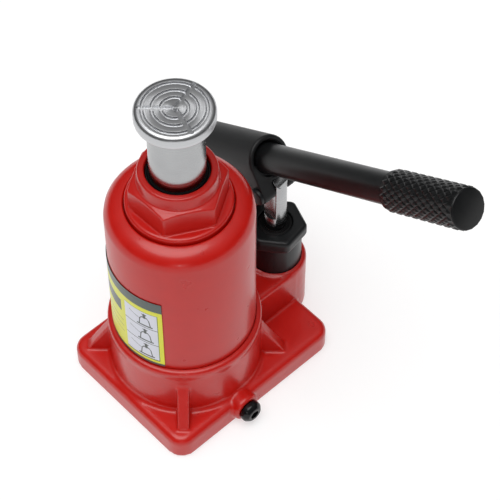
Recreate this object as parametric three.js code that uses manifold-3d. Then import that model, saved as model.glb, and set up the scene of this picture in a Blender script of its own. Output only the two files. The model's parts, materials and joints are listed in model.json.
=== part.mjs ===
// A hydraulic bottle jack with a knurled pump handle, built as separate pieces.
//
// Millimetres. +Z is up, z = 0 is the underside of the base and the ram is on
// the Z axis. +X is the operator's side: the release valve is on that face of
// the base and the handle points that way. +Y is the pump's side.

import * as THREE from 'three';
import { mergeVertices } from 'three/addons/utils/BufferGeometryUtils.js';
import Module from 'manifold-3d';

const wasm = await Module();
wasm.setup();

// ---------------------------------------------------------------- dimensions

const GAP = 0.3; // air between pieces that seat on each other
const RUN = 0.12; // radial clearance of a sliding fit
const PAST = 1; // how far a cutting tool runs past a face

// Sides of the polygon that stands for a circle
const WIDE = 48;
const ROUND = 28;
const SMALL = 16;
const DRILLED = 10;

// Base casting
const PLATE_HALF_X = 45.6;
const PLATE_FRONT_Y = -45.4;
const PLATE_BACK_Y = 67.6;
const PLATE_TOP = 15;
const PLATE_CORNER_R = 9;
const PLATE_EDGE_R = 4;
const COLLAR_R = 41.2;
const COLLAR_TOP = 51;
const RESERVOIR_FLOOR = 16;
const CYLINDER_SEAT = 12;
const GUSSET_THICK = 6;
const GUSSET_REACH = 54;
const GUSSET_TOP = 38;
const GUSSET_AZIMUTHS = [-43.6, 46.7, 133.3, -134.7]; // degrees round from +X
const BRIDGE_HALF_X = 17.7;
const BOSS_R = 17.4;
const BOSS_TOP = 41;

// Reservoir tank and top nut
const TANK_R = 38;
const TANK_WALL = 3;
const TANK_BOTTOM = 18.4;
const TANK_TOP = 145.7;
const TANK_MOUTH_R = 27.7;
const TANK_SEAT_TOP = 141;
const TANK_SHOULDER_R = 9;
const NUT_FLANGE_R = 27.3;
const NUT_HEX_BOTTOM = 148.6;
const NUT_HEX_TOP = 163;
const NUT_HEX_CORNER_R = 25.6;
const NUT_LIP_TOP = 171;
const NUT_MOUTH_R = 16.2;
const NUT_BOTTOM = 143.1;
const NUT_SEAL_R = 17.3;
const NUT_SEAL_LOW = 157.4;
const NUT_SEAL_HIGH = 160.6;
const WIPER_SEAT = 163.6;
const FILLER_AZIMUTH = 160; // degrees round from +X, out of the operator's way
const FILLER_Z = 124;
const FILLER_R = 4;

// Ram, cylinder and extension screw
const RAM_R = 14;
const RAM_TOP = 207.2; // raised 36 mm above its lowest place
const RAM_BOTTOM = 50;
const PISTON_R = 16;
const CYLINDER_R = 20;
const CYLINDER_BORE_R = PISTON_R + RUN;
const CYLINDER_BOTTOM = 13.9;
const CYLINDER_TOP = 154.6;
const SCREW_R = 9.5;
const SADDLE_R = 19.7;
const SADDLE_TOP = 215.3;
const SADDLE_LAND_R = 2.2; // flat left in the middle, where the radial grooves start
const SADDLE_RIM = 5; // height of the straight side of its rim
const SPOKE_AZIMUTH = -14; // first of its three radial grooves
const PISTON_LOW = RAM_BOTTOM + 12;
const SEAL_LAND_R = 9.6;
const RETAINER_GROOVE_R = 8.8;
const SCREW_BOTTOM = RAM_TOP - 68;
const STOP_GROOVE_R = SCREW_R - 2;
const STOP_RING_R = SCREW_R + 1.4;

// Pump: plunger axis, barrel and hexagon
const PUMP_Y = 66.3;
const BARREL_HEX_CORNER_R = 17.8;
const BARREL_HEX_TURN = 40; // degrees from +X to the first corner
const BARREL_HEX_BOTTOM = 60;
const BARREL_TOP = 69;
const BARREL_R = 14.6;
const BARREL_SPIGOT_R = 10.6;
const BARREL_BOTTOM = 18.4;
const BARREL_STEP = 34; // where its bore in the boss widens
const BARREL_FLOOR = 20.6;
const PUMP_WIPER_R = 9.4;
const PUMP_WIPER_SEAT = 63;
const PLUNGER_R = 6;
const PLUNGER_BOTTOM = 44;
const TANG_SHOULDER = 78;
const TANG_THICK = 8;
const SLOT_WIDTH = TANG_THICK + 2 * GAP; // in the socket and in the base's lugs

// Pump linkage, measured in the socket's own plane:
// u runs along the handle and v square to it, from the point where the handle's
// axis crosses the pump's axis.
const HANDLE_TILT = 31.8; // degrees above level at rest
const HANDLE_Z = 121.2;
const LINK_SPAN = 28; // from the plunger's pin to the fulcrum pin
const PIN_V = -16.5;
const PIN_R = 3;
const SOCKET_R = 12.5;
const SOCKET_FRONT_U = -5.8;
const CHEEK_FRONT = 12.5; // outer faces of the cheeks, each side of the tang
const CHEEK_BACK = 8.6;
const SOCKET_BACK_U = -69;
const SOCKET_BOTTOM_V = -21.5;
const LINK_FOOT_Z = 49.5;
const LINK_EYE_R = 6.8;
const LINK_EYE_BORE_R = 4.85; // wide, because the fulcrum pin floats in it
const LINK_FOOT_PIN_R = 4;
const LINK_FOOT_R = 6.9;
const LUG_THICK = 5;
const LUG_R = 7.4;
const LUG_REACH = SLOT_WIDTH / 2 + LUG_THICK;

// Handle
const ROD_R = 8.2;
const ROD_BACK_U = -56;
const GRIP_R = 10.7;
const GRIP_BACK_U = 95;
const GRIP_FRONT_U = 147.5;

// Release valve, on the +X face of the base
const VALVE_Z = 9;
const VALVE_BOSS_R = 8.2;
const VALVE_BOSS_FACE = 49.4;
const VALVE_BALL_R = 3;
const VALVE_SEAT_X = 23.5;
const RETURN_PORT_X = 26.5;
const VALVE_THREAD_R = 4.3;
const VALVE_LAND_R = 5.6;
const VALVE_THREAD_START = 30.5;
const VALVE_LAND_START = 40;
const VALVE_SEAL_START = 42;
const VALVE_SEAL_R = 4.1;
const BALL_REST_X = VALVE_SEAT_X + 2.9;
const HEAD_R = 6.3;

// Oil galleries in the base
const GALLERY_R = 1.7;
const DELIVERY_Y = 46;
const PUMP_GALLERY_Z = 16;
const CHECK_BALL_R = 2.5;
const DELIVERY_BALL_Z = 9.4;
const SUCTION_BALL_Z = 15.2;
const GALLERY_PLUG_R = 3;
const DELIVERY_PLUG_R = 4;
const DELIVERY_PLUG_TOP = 4.1;
const SUCTION_Z = 7;
const SUCTION_TURN = 27; // degrees from -Y towards +X
const SUCTION_REACH = 47; // from the pump's axis to the port in the reservoir
const PLUG_DEPTH = 5;

// Label on the tank
const LABEL_THICK = 0.3;
const LABEL_BOTTOM = 52.6;
const LABEL_TOP = 108;
const LABEL_RIGHT = -57; // degrees round from +X
const LABEL_LEFT = -150;

// ------------------------------------------------------------------- finishes

const finish = (color, roughness, metalness) =>
  new THREE.MeshStandardMaterial({ color, roughness, metalness });

const RED_ENAMEL = finish(0xcf2418, 0.22, 0.0);
const BLACK_PAINT = finish(0x1b1c1d, 0.45, 0.1);
const BLACK_OXIDE = finish(0x222324, 0.35, 0.8);
const CHROME = finish(0xc9cacb, 0.18, 1.0);
const TURNED_STEEL = finish(0xb4b5b6, 0.35, 1.0);
const BEARING_STEEL = finish(0xd2d4d6, 0.12, 1.0);
const SPRING_STEEL = finish(0x8f9092, 0.3, 1.0);
const RUBBER = finish(0x151515, 0.8, 0.0);
const POLYURETHANE = finish(0xc98a2a, 0.5, 0.0);
const COPPER = finish(0xb66a3c, 0.35, 1.0);
const LABEL_FILM = finish(0xe6e21c, 0.35, 0.0);

// ----------------------------------------------------------- solid operations

const rad = THREE.MathUtils.degToRad;

// A closed three.js geometry as a solid, facing outwards.
function solid(geometry) {
  const bare = geometry.index ? geometry.toNonIndexed() : geometry.clone();
  bare.deleteAttribute('normal');
  bare.deleteAttribute('uv');
  const merged = mergeVertices(bare, 1e-4);
  const index = merged.index.array;
  const kept = [];
  for (let i = 0; i < index.length; i += 3) {
    const [a, b, c] = [index[i], index[i + 1], index[i + 2]];
    if (a !== b && b !== c && c !== a) kept.push(a, b, c);
  }
  const build = (triangles) => new wasm.Manifold(new wasm.Mesh({
    numProp: 3,
    vertProperties: new Float32Array(merged.attributes.position.array),
    triVerts: new Uint32Array(triangles),
  }));
  const result = build(kept);
  if (result.volume() > 0) return result;
  for (let i = 0; i < kept.length; i += 3) {
    [kept[i], kept[i + 1]] = [kept[i + 1], kept[i]];
  }
  return build(kept);
}

function geometryOf(body) {
  const mesh = body.getMesh();
  const geometry = new THREE.BufferGeometry();
  const stride = mesh.numProp;
  const count = mesh.vertProperties.length / stride;
  const position = new Float32Array(count * 3);
  for (let i = 0; i < count; i += 1) {
    for (let k = 0; k < 3; k += 1) {
      position[3 * i + k] = mesh.vertProperties[stride * i + k];
    }
  }
  geometry.setAttribute('position', new THREE.BufferAttribute(position, 3));
  geometry.setIndex(Array.from(mesh.triVerts));
  geometry.computeVertexNormals();
  return geometry;
}

const join = (first, ...others) => others.reduce((sum, next) => sum.add(next), first);
const cut = (first, ...tools) => tools.reduce((rest, tool) => rest.subtract(tool), first);

// A solid of revolution about +Z from [radius, z] points that close on
// themselves, or start and end on the axis.
function turned(profile, sides = ROUND) {
  const points = profile.map(([r, z]) => new THREE.Vector2(r, z));
  const first = points[0];
  const last = points[points.length - 1];
  if (first.x > 0 || last.x > 0) points.push(first.clone());
  const geometry = new THREE.LatheGeometry(points, sides);
  geometry.rotateX(Math.PI / 2);
  return solid(geometry);
}

// A plain cylinder along +Z from z0 to z1.
const rod = (radius, z0, z1, sides = SMALL) =>
  turned([[0, z0], [radius, z0], [radius, z1], [0, z1]], sides);

const ring = (inner, outer, z0, z1, sides = ROUND) =>
  turned([[inner, z0], [outer, z0], [outer, z1], [inner, z1]], sides);

function box(x0, x1, y0, y1, z0, z1) {
  const geometry = new THREE.BoxGeometry(x1 - x0, y1 - y0, z1 - z0);
  geometry.translate((x0 + x1) / 2, (y0 + y1) / 2, (z0 + z1) / 2);
  return solid(geometry);
}

// An outline in the XY plane extruded from z0 to z1.
function prism(outline, z0, z1) {
  const shape = outline instanceof THREE.Shape
    ? outline
    : new THREE.Shape(outline.map(([x, y]) => new THREE.Vector2(x, y)));
  const geometry = new THREE.ExtrudeGeometry(shape, {
    depth: z1 - z0,
    bevelEnabled: false,
    curveSegments: 6,
  });
  geometry.translate(0, 0, z0);
  return solid(geometry);
}

// The same body pointing another way, then moved.
function along(body, axis, at = [0, 0, 0]) {
  const turn = {
    z: [0, 0, 0],
    x: [0, 90, 0],
    y: [-90, 0, 0],
  }[axis];
  return body.rotate(turn).translate(at);
}

// Points of an arc about [r, z], for turned profiles.
function arc(r, z, radius, from, to, steps) {
  const points = [];
  for (let i = 0; i <= steps; i += 1) {
    const angle = rad(from + ((to - from) * i) / steps);
    points.push([r + radius * Math.cos(angle), z + radius * Math.sin(angle)]);
  }
  return points;
}

function hexagon(cornerRadius, turn) {
  const points = [];
  for (let i = 0; i < 6; i += 1) {
    const angle = rad(turn + 60 * i);
    points.push([cornerRadius * Math.cos(angle), cornerRadius * Math.sin(angle)]);
  }
  return points;
}

// Hexagon bar with its corners turned down by a cone, as on a machined nut.
function machinedHexagon(cornerRadius, turn, z0, z1, crown) {
  const flat = cornerRadius * Math.cos(rad(30));
  const blank = prism(hexagon(cornerRadius, turn), z0, z1);
  const envelope = turned([
    [0, z0],
    [cornerRadius + PAST, z0],
    [cornerRadius + PAST, z1 - crown - PAST * crown / (cornerRadius - flat)],
    [flat, z1],
    [0, z1],
  ], 36);
  return blank.intersect(envelope);
}

function roundedRectangle(x0, x1, y0, y1, radius) {
  const shape = new THREE.Shape();
  shape.absarc(x1 - radius, y1 - radius, radius, 0, rad(90), false);
  shape.absarc(x0 + radius, y1 - radius, radius, rad(90), rad(180), false);
  shape.absarc(x0 + radius, y0 + radius, radius, rad(180), rad(270), false);
  shape.absarc(x1 - radius, y0 + radius, radius, rad(270), rad(360), false);
  shape.closePath();
  return shape;
}

// ------------------------------------------------------- places in the linkage

const tiltCos = Math.cos(rad(HANDLE_TILT));
const tiltSin = Math.sin(rad(HANDLE_TILT));

// From the socket's u, v to the row's x, z.
const fromSocket = (u, v) => [
  u * tiltCos - v * tiltSin,
  HANDLE_Z + u * tiltSin + v * tiltCos,
];

// The plunger's pin is where the line of pins crosses the pump's axis.
const PLUNGER_PIN_U = (PIN_V * tiltSin) / tiltCos;
const FULCRUM_PIN_U = PLUNGER_PIN_U - LINK_SPAN;
const [, PLUNGER_PIN_Z] = fromSocket(PLUNGER_PIN_U, PIN_V);
const [FULCRUM_X, FULCRUM_Z] = fromSocket(FULCRUM_PIN_U, PIN_V);

// -------------------------------------------------------------- base casting

function basePlate() {
  const shape = roundedRectangle(
    -PLATE_HALF_X + PLATE_EDGE_R,
    PLATE_HALF_X - PLATE_EDGE_R,
    PLATE_FRONT_Y + PLATE_EDGE_R,
    PLATE_BACK_Y - PLATE_EDGE_R,
    PLATE_CORNER_R - PLATE_EDGE_R,
  );
  const geometry = new THREE.ExtrudeGeometry(shape, {
    depth: PLATE_TOP,
    bevelThickness: PLATE_EDGE_R,
    bevelSize: PLATE_EDGE_R,
    bevelSegments: 4,
    curveSegments: 5,
  });
  geometry.translate(0, 0, -PLATE_EDGE_R);
  const slab = box(-60, 60, -60, 80, 0, PLATE_TOP + PAST);
  return solid(geometry).intersect(slab);
}

// Collar round the tank's foot, with a cast fillet down to the plate.
function collar() {
  const foot = 4;
  return turned([
    [0, PAST],
    [COLLAR_R + 2, PAST],
    [COLLAR_R + 2, PLATE_TOP - 1],
    ...arc(COLLAR_R + foot, PLATE_TOP - 0.5 + foot, foot, 240, 180, 3),
    [COLLAR_R, COLLAR_TOP - 1.6],
    [COLLAR_R - 1.6, COLLAR_TOP],
    [0, COLLAR_TOP],
  ], WIDE);
}

// One web from the collar out to a corner of the plate.
function gusset(angle) {
  const web = prism([
    [COLLAR_R - 2, PLATE_TOP - 2],
    [GUSSET_REACH, PLATE_TOP - 2],
    [GUSSET_REACH, PLATE_TOP],
    [COLLAR_R - 0.4, GUSSET_TOP],
    [COLLAR_R - 2, GUSSET_TOP],
  ], -GUSSET_THICK / 2, GUSSET_THICK / 2);
  return web.rotate([90, 0, 0]).rotate([0, 0, angle]);
}

// Solid block between the collar and the pump's boss.
function bridge() {
  return box(-BRIDGE_HALF_X, BRIDGE_HALF_X, COLLAR_R - 18, PUMP_Y, 2, BOSS_TOP - 1);
}

function pumpBoss() {
  return turned([
    [0, 0],
    [BOSS_R - 1.5, 0],
    [BOSS_R, 1.5],
    [BOSS_R, BOSS_TOP - 1.6],
    [BOSS_R - 1.6, BOSS_TOP],
    [0, BOSS_TOP],
  ]).translate([0, PUMP_Y, 0]);
}

// The pair of lugs that hold the fulcrum link's lower pin.
function fulcrumLugs() {
  const outline = new THREE.Shape();
  outline.moveTo(FULCRUM_X - LUG_R, 0.5);
  outline.lineTo(FULCRUM_X - LUG_R, LINK_FOOT_Z);
  outline.absarc(FULCRUM_X, LINK_FOOT_Z, LUG_R, rad(180), 0, true);
  outline.lineTo(-BOSS_R + 2, BOSS_TOP - 3);
  outline.lineTo(-BOSS_R + 6, 0.5);
  outline.closePath();
  const cheek = prism(outline, -LUG_REACH, LUG_REACH);
  const slot = box(
    FULCRUM_X - LUG_R - PAST,
    FULCRUM_X + LUG_R + PAST,
    -SLOT_WIDTH / 2,
    SLOT_WIDTH / 2,
    LINK_FOOT_Z - LINK_FOOT_R - 1,
    LINK_FOOT_Z + LUG_R + PAST,
  ).translate([0, PUMP_Y, 0]);
  const pinHole = along(rod(LINK_FOOT_PIN_R + GAP, -20, 20), 'y', [FULCRUM_X, PUMP_Y, LINK_FOOT_Z]);
  return cut(cheek.rotate([90, 0, 0]).translate([0, PUMP_Y, 0]), slot, pinHole);
}

// Ball pocket under the pump, then the inlet's way down from the ball's seat.
const suctionPocket = () => turned([
  [0, 5],
  [GALLERY_R, 5],
  [GALLERY_R, 12],
  [CHECK_BALL_R + 0.8, 14],
  [CHECK_BALL_R + 0.8, BARREL_BOTTOM],
  [0, BARREL_BOTTOM],
], DRILLED).translate([0, PUMP_Y, 0]);

// Stepped bore for the barrel, open at the top of the boss.
const barrelBore = () => turned([
  [0, BARREL_BOTTOM - GAP],
  [BARREL_SPIGOT_R + GAP, BARREL_BOTTOM - GAP],
  [BARREL_SPIGOT_R + GAP, BARREL_STEP],
  [BARREL_R + GAP, BARREL_STEP],
  [BARREL_R + GAP, BOSS_TOP + PAST],
  [0, BOSS_TOP + PAST],
]).translate([0, PUMP_Y, 0]);

// Delivery valve: a bore from the underside, with the ball's seat at its top.
const deliveryBore = () => turned([
  [0, -PAST],
  [DELIVERY_PLUG_R + GAP, -PAST],
  [DELIVERY_PLUG_R + GAP, DELIVERY_PLUG_TOP + 0.5],
  [CHECK_BALL_R + 0.7, DELIVERY_PLUG_TOP + 0.5],
  [CHECK_BALL_R + 0.7, DELIVERY_BALL_Z + 2],
  [GALLERY_R - 0.2, 13],
  [GALLERY_R - 0.2, PUMP_GALLERY_Z],
  [0, PUMP_GALLERY_Z],
], SMALL).translate([0, DELIVERY_Y, 0]);

// Level galleries: pump to delivery valve, delivery valve to cylinder, and
// reservoir to pump. The first and last are drilled from the boss's far side.
function galleries() {
  const farSide = PUMP_Y + BOSS_R + PAST;
  const pump = join(
    along(rod(GALLERY_R, DELIVERY_Y - 0.5, farSide, DRILLED), 'y', [0, 0, PUMP_GALLERY_Z]),
    along(rod(GALLERY_PLUG_R + GAP, farSide - 7, farSide), 'y', [0, 0, PUMP_GALLERY_Z]),
  );
  const cylinder = along(rod(GALLERY_R, 0, DELIVERY_Y, DRILLED), 'y', [0, 0, VALVE_Z]);
  const suction = join(
    rod(GALLERY_R, -20, SUCTION_REACH + GALLERY_R, DRILLED),
    rod(GALLERY_PLUG_R + GAP, -20, -9.5),
  );
  const port = rod(GALLERY_R, SUCTION_Z, RESERVOIR_FLOOR + PAST, DRILLED)
    .translate([0, -SUCTION_REACH, 0])
    .rotate([0, 0, SUCTION_TURN])
    .translate([0, PUMP_Y, 0]);
  return join(
    pump,
    cylinder,
    suction.rotate([90, 0, SUCTION_TURN]).translate([0, PUMP_Y, SUCTION_Z]),
    port,
    rod(2.2, VALVE_Z, CYLINDER_SEAT + PAST, DRILLED),
  );
}

// Release valve: boss bore, thread, ball chamber, seat, and the port that lets
// oil back up into the reservoir.
function releaseBore() {
  const bore = turned([
    [0, 0],
    [GALLERY_R, 0],
    [GALLERY_R, VALVE_SEAT_X],
    [VALVE_BALL_R + 0.4, VALVE_SEAT_X + 1.4],
    [VALVE_BALL_R + 0.4, VALVE_THREAD_START],
    [VALVE_THREAD_R + GAP, VALVE_THREAD_START],
    [VALVE_THREAD_R + GAP, VALVE_LAND_START],
    [VALVE_LAND_R + GAP, VALVE_LAND_START],
    [VALVE_LAND_R + GAP, VALVE_BOSS_FACE + PAST],
    [0, VALVE_BOSS_FACE + PAST],
  ], SMALL);
  return join(
    along(bore, 'x', [0, 0, VALVE_Z]),
    rod(GALLERY_R, VALVE_Z, RESERVOIR_FLOOR + PAST, DRILLED).translate([RETURN_PORT_X, 0, 0]),
  );
}

function baseCasting() {
  const valveBoss = along(turned([
    [0, PLATE_HALF_X - 8],
    [VALVE_BOSS_R, PLATE_HALF_X - 8],
    [VALVE_BOSS_R, VALVE_BOSS_FACE - 1],
    [VALVE_BOSS_R - 1, VALVE_BOSS_FACE],
    [0, VALVE_BOSS_FACE],
  ], 24), 'x', [0, 0, VALVE_Z]);
  const tankSeat = rod(TANK_R + GAP, RESERVOIR_FLOOR, COLLAR_TOP + PAST, WIDE);
  const cylinderSeat = rod(CYLINDER_R + GAP, CYLINDER_SEAT, RESERVOIR_FLOOR + PAST, ROUND);
  const outside = join(
    basePlate(),
    collar(),
    ...GUSSET_AZIMUTHS.map(gusset),
    bridge(),
    pumpBoss(),
    fulcrumLugs(),
    valveBoss,
  );
  return cut(
    outside,
    tankSeat,
    cylinderSeat,
    barrelBore(),
    suctionPocket(),
    deliveryBore(),
    galleries(),
    releaseBore(),
  );
}

// ------------------------------------------------------- reservoir and top nut

function reservoirTank() {
  const shoulder = TANK_TOP - TANK_SHOULDER_R;
  const inner = TANK_R - TANK_WALL;
  const shell = turned([
    [inner, TANK_BOTTOM],
    [TANK_R, TANK_BOTTOM],
    [TANK_R, shoulder],
    ...arc(TANK_R - TANK_SHOULDER_R, shoulder, TANK_SHOULDER_R, 15, 90, 5),
    [TANK_MOUTH_R, TANK_TOP - 1],
    [TANK_MOUTH_R, TANK_SEAT_TOP],
    [CYLINDER_R + 1.2, TANK_SEAT_TOP],
    [CYLINDER_R + 1.2, TANK_SEAT_TOP - TANK_WALL],
    [inner - 4, TANK_SEAT_TOP - TANK_WALL],
    [inner, TANK_SEAT_TOP - TANK_WALL - 4],
  ], WIDE);
  return cut(shell, atFiller(rod(FILLER_R + GAP, TANK_R - 8, TANK_R + 8)));
}

const atFiller = (body) => along(body, 'x')
  .rotate([0, 0, FILLER_AZIMUTH])
  .translate([0, 0, FILLER_Z]);

// Rubber bung: a head outside the tank and a barb inside it.
function fillerPlug() {
  const plug = turned([
    [0, TANK_R - 6],
    [FILLER_R - 1, TANK_R - 6],
    [FILLER_R, TANK_R - TANK_WALL - 0.6],
    [FILLER_R, TANK_R + 0.6],
    [6.4, TANK_R + 0.6],
    [6.4, TANK_R + 1.8],
    [5, TANK_R + 2.8],
    [0, TANK_R + 2.8],
  ], SMALL);
  return atFiller(plug);
}

// Nut that clamps the tank, threaded on the cylinder and sealing on the ram.
function topNut() {
  const flangeTop = NUT_HEX_BOTTOM;
  const bore = RAM_R + GAP;
  const turnedPart = turned([
    [CYLINDER_R + GAP, NUT_BOTTOM],
    [NUT_FLANGE_R, NUT_BOTTOM],
    [NUT_FLANGE_R, flangeTop - 1.2],
    [NUT_FLANGE_R - 1.2, flangeTop],
    [22, flangeTop],
    [22, NUT_HEX_TOP - 0.4],
    [20.4, NUT_HEX_TOP + 1.8],
    [19.7, NUT_LIP_TOP - 1.2],
    [18.6, NUT_LIP_TOP],
    [NUT_MOUTH_R, NUT_LIP_TOP],
    [NUT_MOUTH_R, WIPER_SEAT],
    [bore, WIPER_SEAT],
    [bore, NUT_SEAL_HIGH],
    [NUT_SEAL_R, NUT_SEAL_HIGH],
    [NUT_SEAL_R, NUT_SEAL_LOW],
    [bore, NUT_SEAL_LOW],
    [bore, CYLINDER_TOP + GAP],
    [CYLINDER_R + GAP, CYLINDER_TOP + GAP],
  ], 36);
  const hex = machinedHexagon(NUT_HEX_CORNER_R, 2, flangeTop - 0.5, NUT_HEX_TOP, 1.6);
  return join(turnedPart, cut(hex, rod(21, flangeTop - 2, NUT_HEX_TOP + PAST, 36)));
}

const topNutGasket = () =>
  ring(CYLINDER_R + 1.6, NUT_FLANGE_R - GAP, TANK_SEAT_TOP + GAP, NUT_BOTTOM - GAP);
const tankGasket = () =>
  ring(TANK_R - TANK_WALL - 0.4, TANK_R - 0.2, RESERVOIR_FLOOR + GAP, TANK_BOTTOM - GAP);
const cylinderGasket = () =>
  ring(CYLINDER_BORE_R + GAP, CYLINDER_R - 0.2, CYLINDER_SEAT + GAP, CYLINDER_BOTTOM - GAP);
const ramSeal = () =>
  ring(RAM_R + RUN, NUT_SEAL_R - GAP, NUT_SEAL_LOW + GAP, NUT_SEAL_HIGH - GAP);

// Dust wiper in the nut's mouth, with a lip that leans on the ram.
const ramWiper = () => turned([
  [RAM_R + RUN, WIPER_SEAT + GAP],
  [NUT_MOUTH_R - GAP, WIPER_SEAT + GAP],
  [NUT_MOUTH_R - GAP, NUT_LIP_TOP - 3],
  [15.2, NUT_LIP_TOP - 3],
  [14.9, NUT_LIP_TOP - 4.2],
  [14.5, NUT_LIP_TOP - 2],
  [RAM_R + RUN, NUT_LIP_TOP - 2.2],
]);

const hydraulicCylinder = () =>
  ring(CYLINDER_BORE_R, CYLINDER_R, CYLINDER_BOTTOM, CYLINDER_TOP);

// Label film wrapped part of the way round the tank.
function label() {
  const steps = 16;
  const inner = TANK_R + GAP;
  const outer = inner + LABEL_THICK;
  const at = (radius, i) => {
    const angle = rad(LABEL_RIGHT + ((LABEL_LEFT - LABEL_RIGHT) * i) / steps);
    return [radius * Math.cos(angle), radius * Math.sin(angle)];
  };
  const outline = [];
  for (let i = 0; i <= steps; i += 1) outline.push(at(outer, i));
  for (let i = steps; i >= 0; i -= 1) outline.push(at(inner, i));
  return prism(outline, LABEL_BOTTOM, LABEL_TOP);
}

// ------------------------------------------------------ ram, screw and saddle

// Ram: a hollow rod with the piston's head turned on its foot.
function ram() {
  return turned([
    [0, RAM_BOTTOM],
    [SEAL_LAND_R - 0.6, RAM_BOTTOM],
    [SEAL_LAND_R, RAM_BOTTOM + 0.6],
    [SEAL_LAND_R, RAM_BOTTOM + 2],
    [RETAINER_GROOVE_R, RAM_BOTTOM + 2],
    [RETAINER_GROOVE_R, RAM_BOTTOM + 3.6],
    [SEAL_LAND_R, RAM_BOTTOM + 3.6],
    [SEAL_LAND_R, PISTON_LOW],
    [PISTON_R, PISTON_LOW],
    [PISTON_R, PISTON_LOW + 7],
    [RAM_R, PISTON_LOW + 8.5],
    [RAM_R, RAM_TOP - 0.8],
    [RAM_R - 0.8, RAM_TOP],
    [SCREW_R + RUN, RAM_TOP],
    [SCREW_R + RUN, RAM_TOP - 8],
    [STOP_RING_R + GAP, RAM_TOP - 8],
    [STOP_RING_R + GAP, SCREW_BOTTOM - 4],
    [0, SCREW_BOTTOM - 8],
  ]);
}

// Cup seal under the piston's head, with its lip down towards the oil.
const pistonSeal = () => turned([
  [SEAL_LAND_R + GAP, PISTON_LOW - GAP],
  [SEAL_LAND_R + GAP, PISTON_LOW - 7],
  [12.4, PISTON_LOW - 7],
  [13, PISTON_LOW - 4.4],
  [14.4, PISTON_LOW - 7.6],
  [PISTON_R - 0.1, PISTON_LOW - 7.2],
  [PISTON_R - 0.1, PISTON_LOW - GAP],
]);

// Split ring in the groove of the piston's foot, holding the seal on.
function pistonRetainer() {
  const body = ring(RETAINER_GROOVE_R + GAP, 12, RAM_BOTTOM + 2.3, RAM_BOTTOM + 3.3);
  return cut(body, box(6, 14, -2.4, 2.4, RAM_BOTTOM, RAM_BOTTOM + 5));
}

// Extension screw with its serrated saddle, forged and turned in one piece.
function saddleScrew() {
  const low = SADDLE_TOP - 1.3;
  const high = SADDLE_TOP + PAST;
  const groove = (middle) => ring(middle - 0.65, middle + 0.65, low, high, 36);
  const body = turned([
    [0, SCREW_BOTTOM],
    [SCREW_R - 0.6, SCREW_BOTTOM],
    [SCREW_R - 0.6, SCREW_BOTTOM + 2.4],
    [STOP_GROOVE_R, SCREW_BOTTOM + 2.4],
    [STOP_GROOVE_R, SCREW_BOTTOM + 4.2],
    [SCREW_R, SCREW_BOTTOM + 4.2],
    [SCREW_R, RAM_TOP + GAP],
    [SADDLE_R - 4.6, RAM_TOP + GAP],
    [SADDLE_R, SADDLE_TOP - SADDLE_RIM],
    [SADDLE_R, SADDLE_TOP - 1],
    [SADDLE_R - 1, SADDLE_TOP],
    [0, SADDLE_TOP],
  ], 36);
  const spokeEnd = SADDLE_R - 2;
  const spoke = (turn) => join(
    box(SADDLE_LAND_R, spokeEnd, -1.1, 1.1, low, high),
    rod(1.1, low, high, 12).translate([spokeEnd, 0, 0]),
  ).rotate([0, 0, SPOKE_AZIMUTH + turn]);
  return cut(
    body,
    groove(6.4),
    groove(10.8),
    groove(15.4),
    spoke(0),
    spoke(120),
    spoke(240),
  );
}

// Split ring on the screw's foot, which stops it leaving the ram.
function screwStopRing() {
  const low = SCREW_BOTTOM + 2.4 + GAP;
  const body = ring(STOP_GROOVE_R + RUN, STOP_RING_R, low, low + 1.2);
  return cut(body, box(5, 14, -2, 2, low - PAST, low + 3));
}

// ------------------------------------------------------------------------ pump

function pumpBarrel() {
  const bore = PLUNGER_R + RUN;
  const turnedPart = turned([
    [2, BARREL_BOTTOM],
    [BARREL_SPIGOT_R - 0.8, BARREL_BOTTOM],
    [BARREL_SPIGOT_R, BARREL_BOTTOM + 0.8],
    [BARREL_SPIGOT_R, BARREL_STEP + 1.9],
    [BARREL_R, BARREL_STEP + 1.9],
    [BARREL_R, BARREL_HEX_BOTTOM + 1],
    [13, BARREL_HEX_BOTTOM + 1],
    [13, BARREL_TOP],
    [PUMP_WIPER_R, BARREL_TOP],
    [PUMP_WIPER_R, PUMP_WIPER_SEAT],
    [bore, PUMP_WIPER_SEAT],
    [bore, BARREL_FLOOR],
    [2, BARREL_FLOOR],
  ]);
  const hex = machinedHexagon(BARREL_HEX_CORNER_R, BARREL_HEX_TURN, BARREL_HEX_BOTTOM, BARREL_TOP, 1.2);
  const crown = cut(hex, rod(12, BARREL_HEX_BOTTOM - PAST, BARREL_TOP + PAST, ROUND));
  return join(turnedPart, crown).translate([0, PUMP_Y, 0]);
}

const barrelGasket = () =>
  ring(BARREL_SPIGOT_R + 0.6, BARREL_R - 0.2, BARREL_STEP + GAP, BARREL_STEP + 1.6)
    .translate([0, PUMP_Y, 0]);

const pumpWiper = () => turned([
  [PLUNGER_R + RUN, PUMP_WIPER_SEAT + GAP],
  [PUMP_WIPER_R - GAP, PUMP_WIPER_SEAT + GAP],
  [PUMP_WIPER_R - GAP, BARREL_TOP - 1],
  [PUMP_WIPER_R - 1.2, BARREL_TOP - 0.4],
  [PLUNGER_R + 0.8, BARREL_TOP - 1.6],
  [PLUNGER_R + RUN, BARREL_TOP - 0.8],
]).translate([0, PUMP_Y, 0]);

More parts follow.
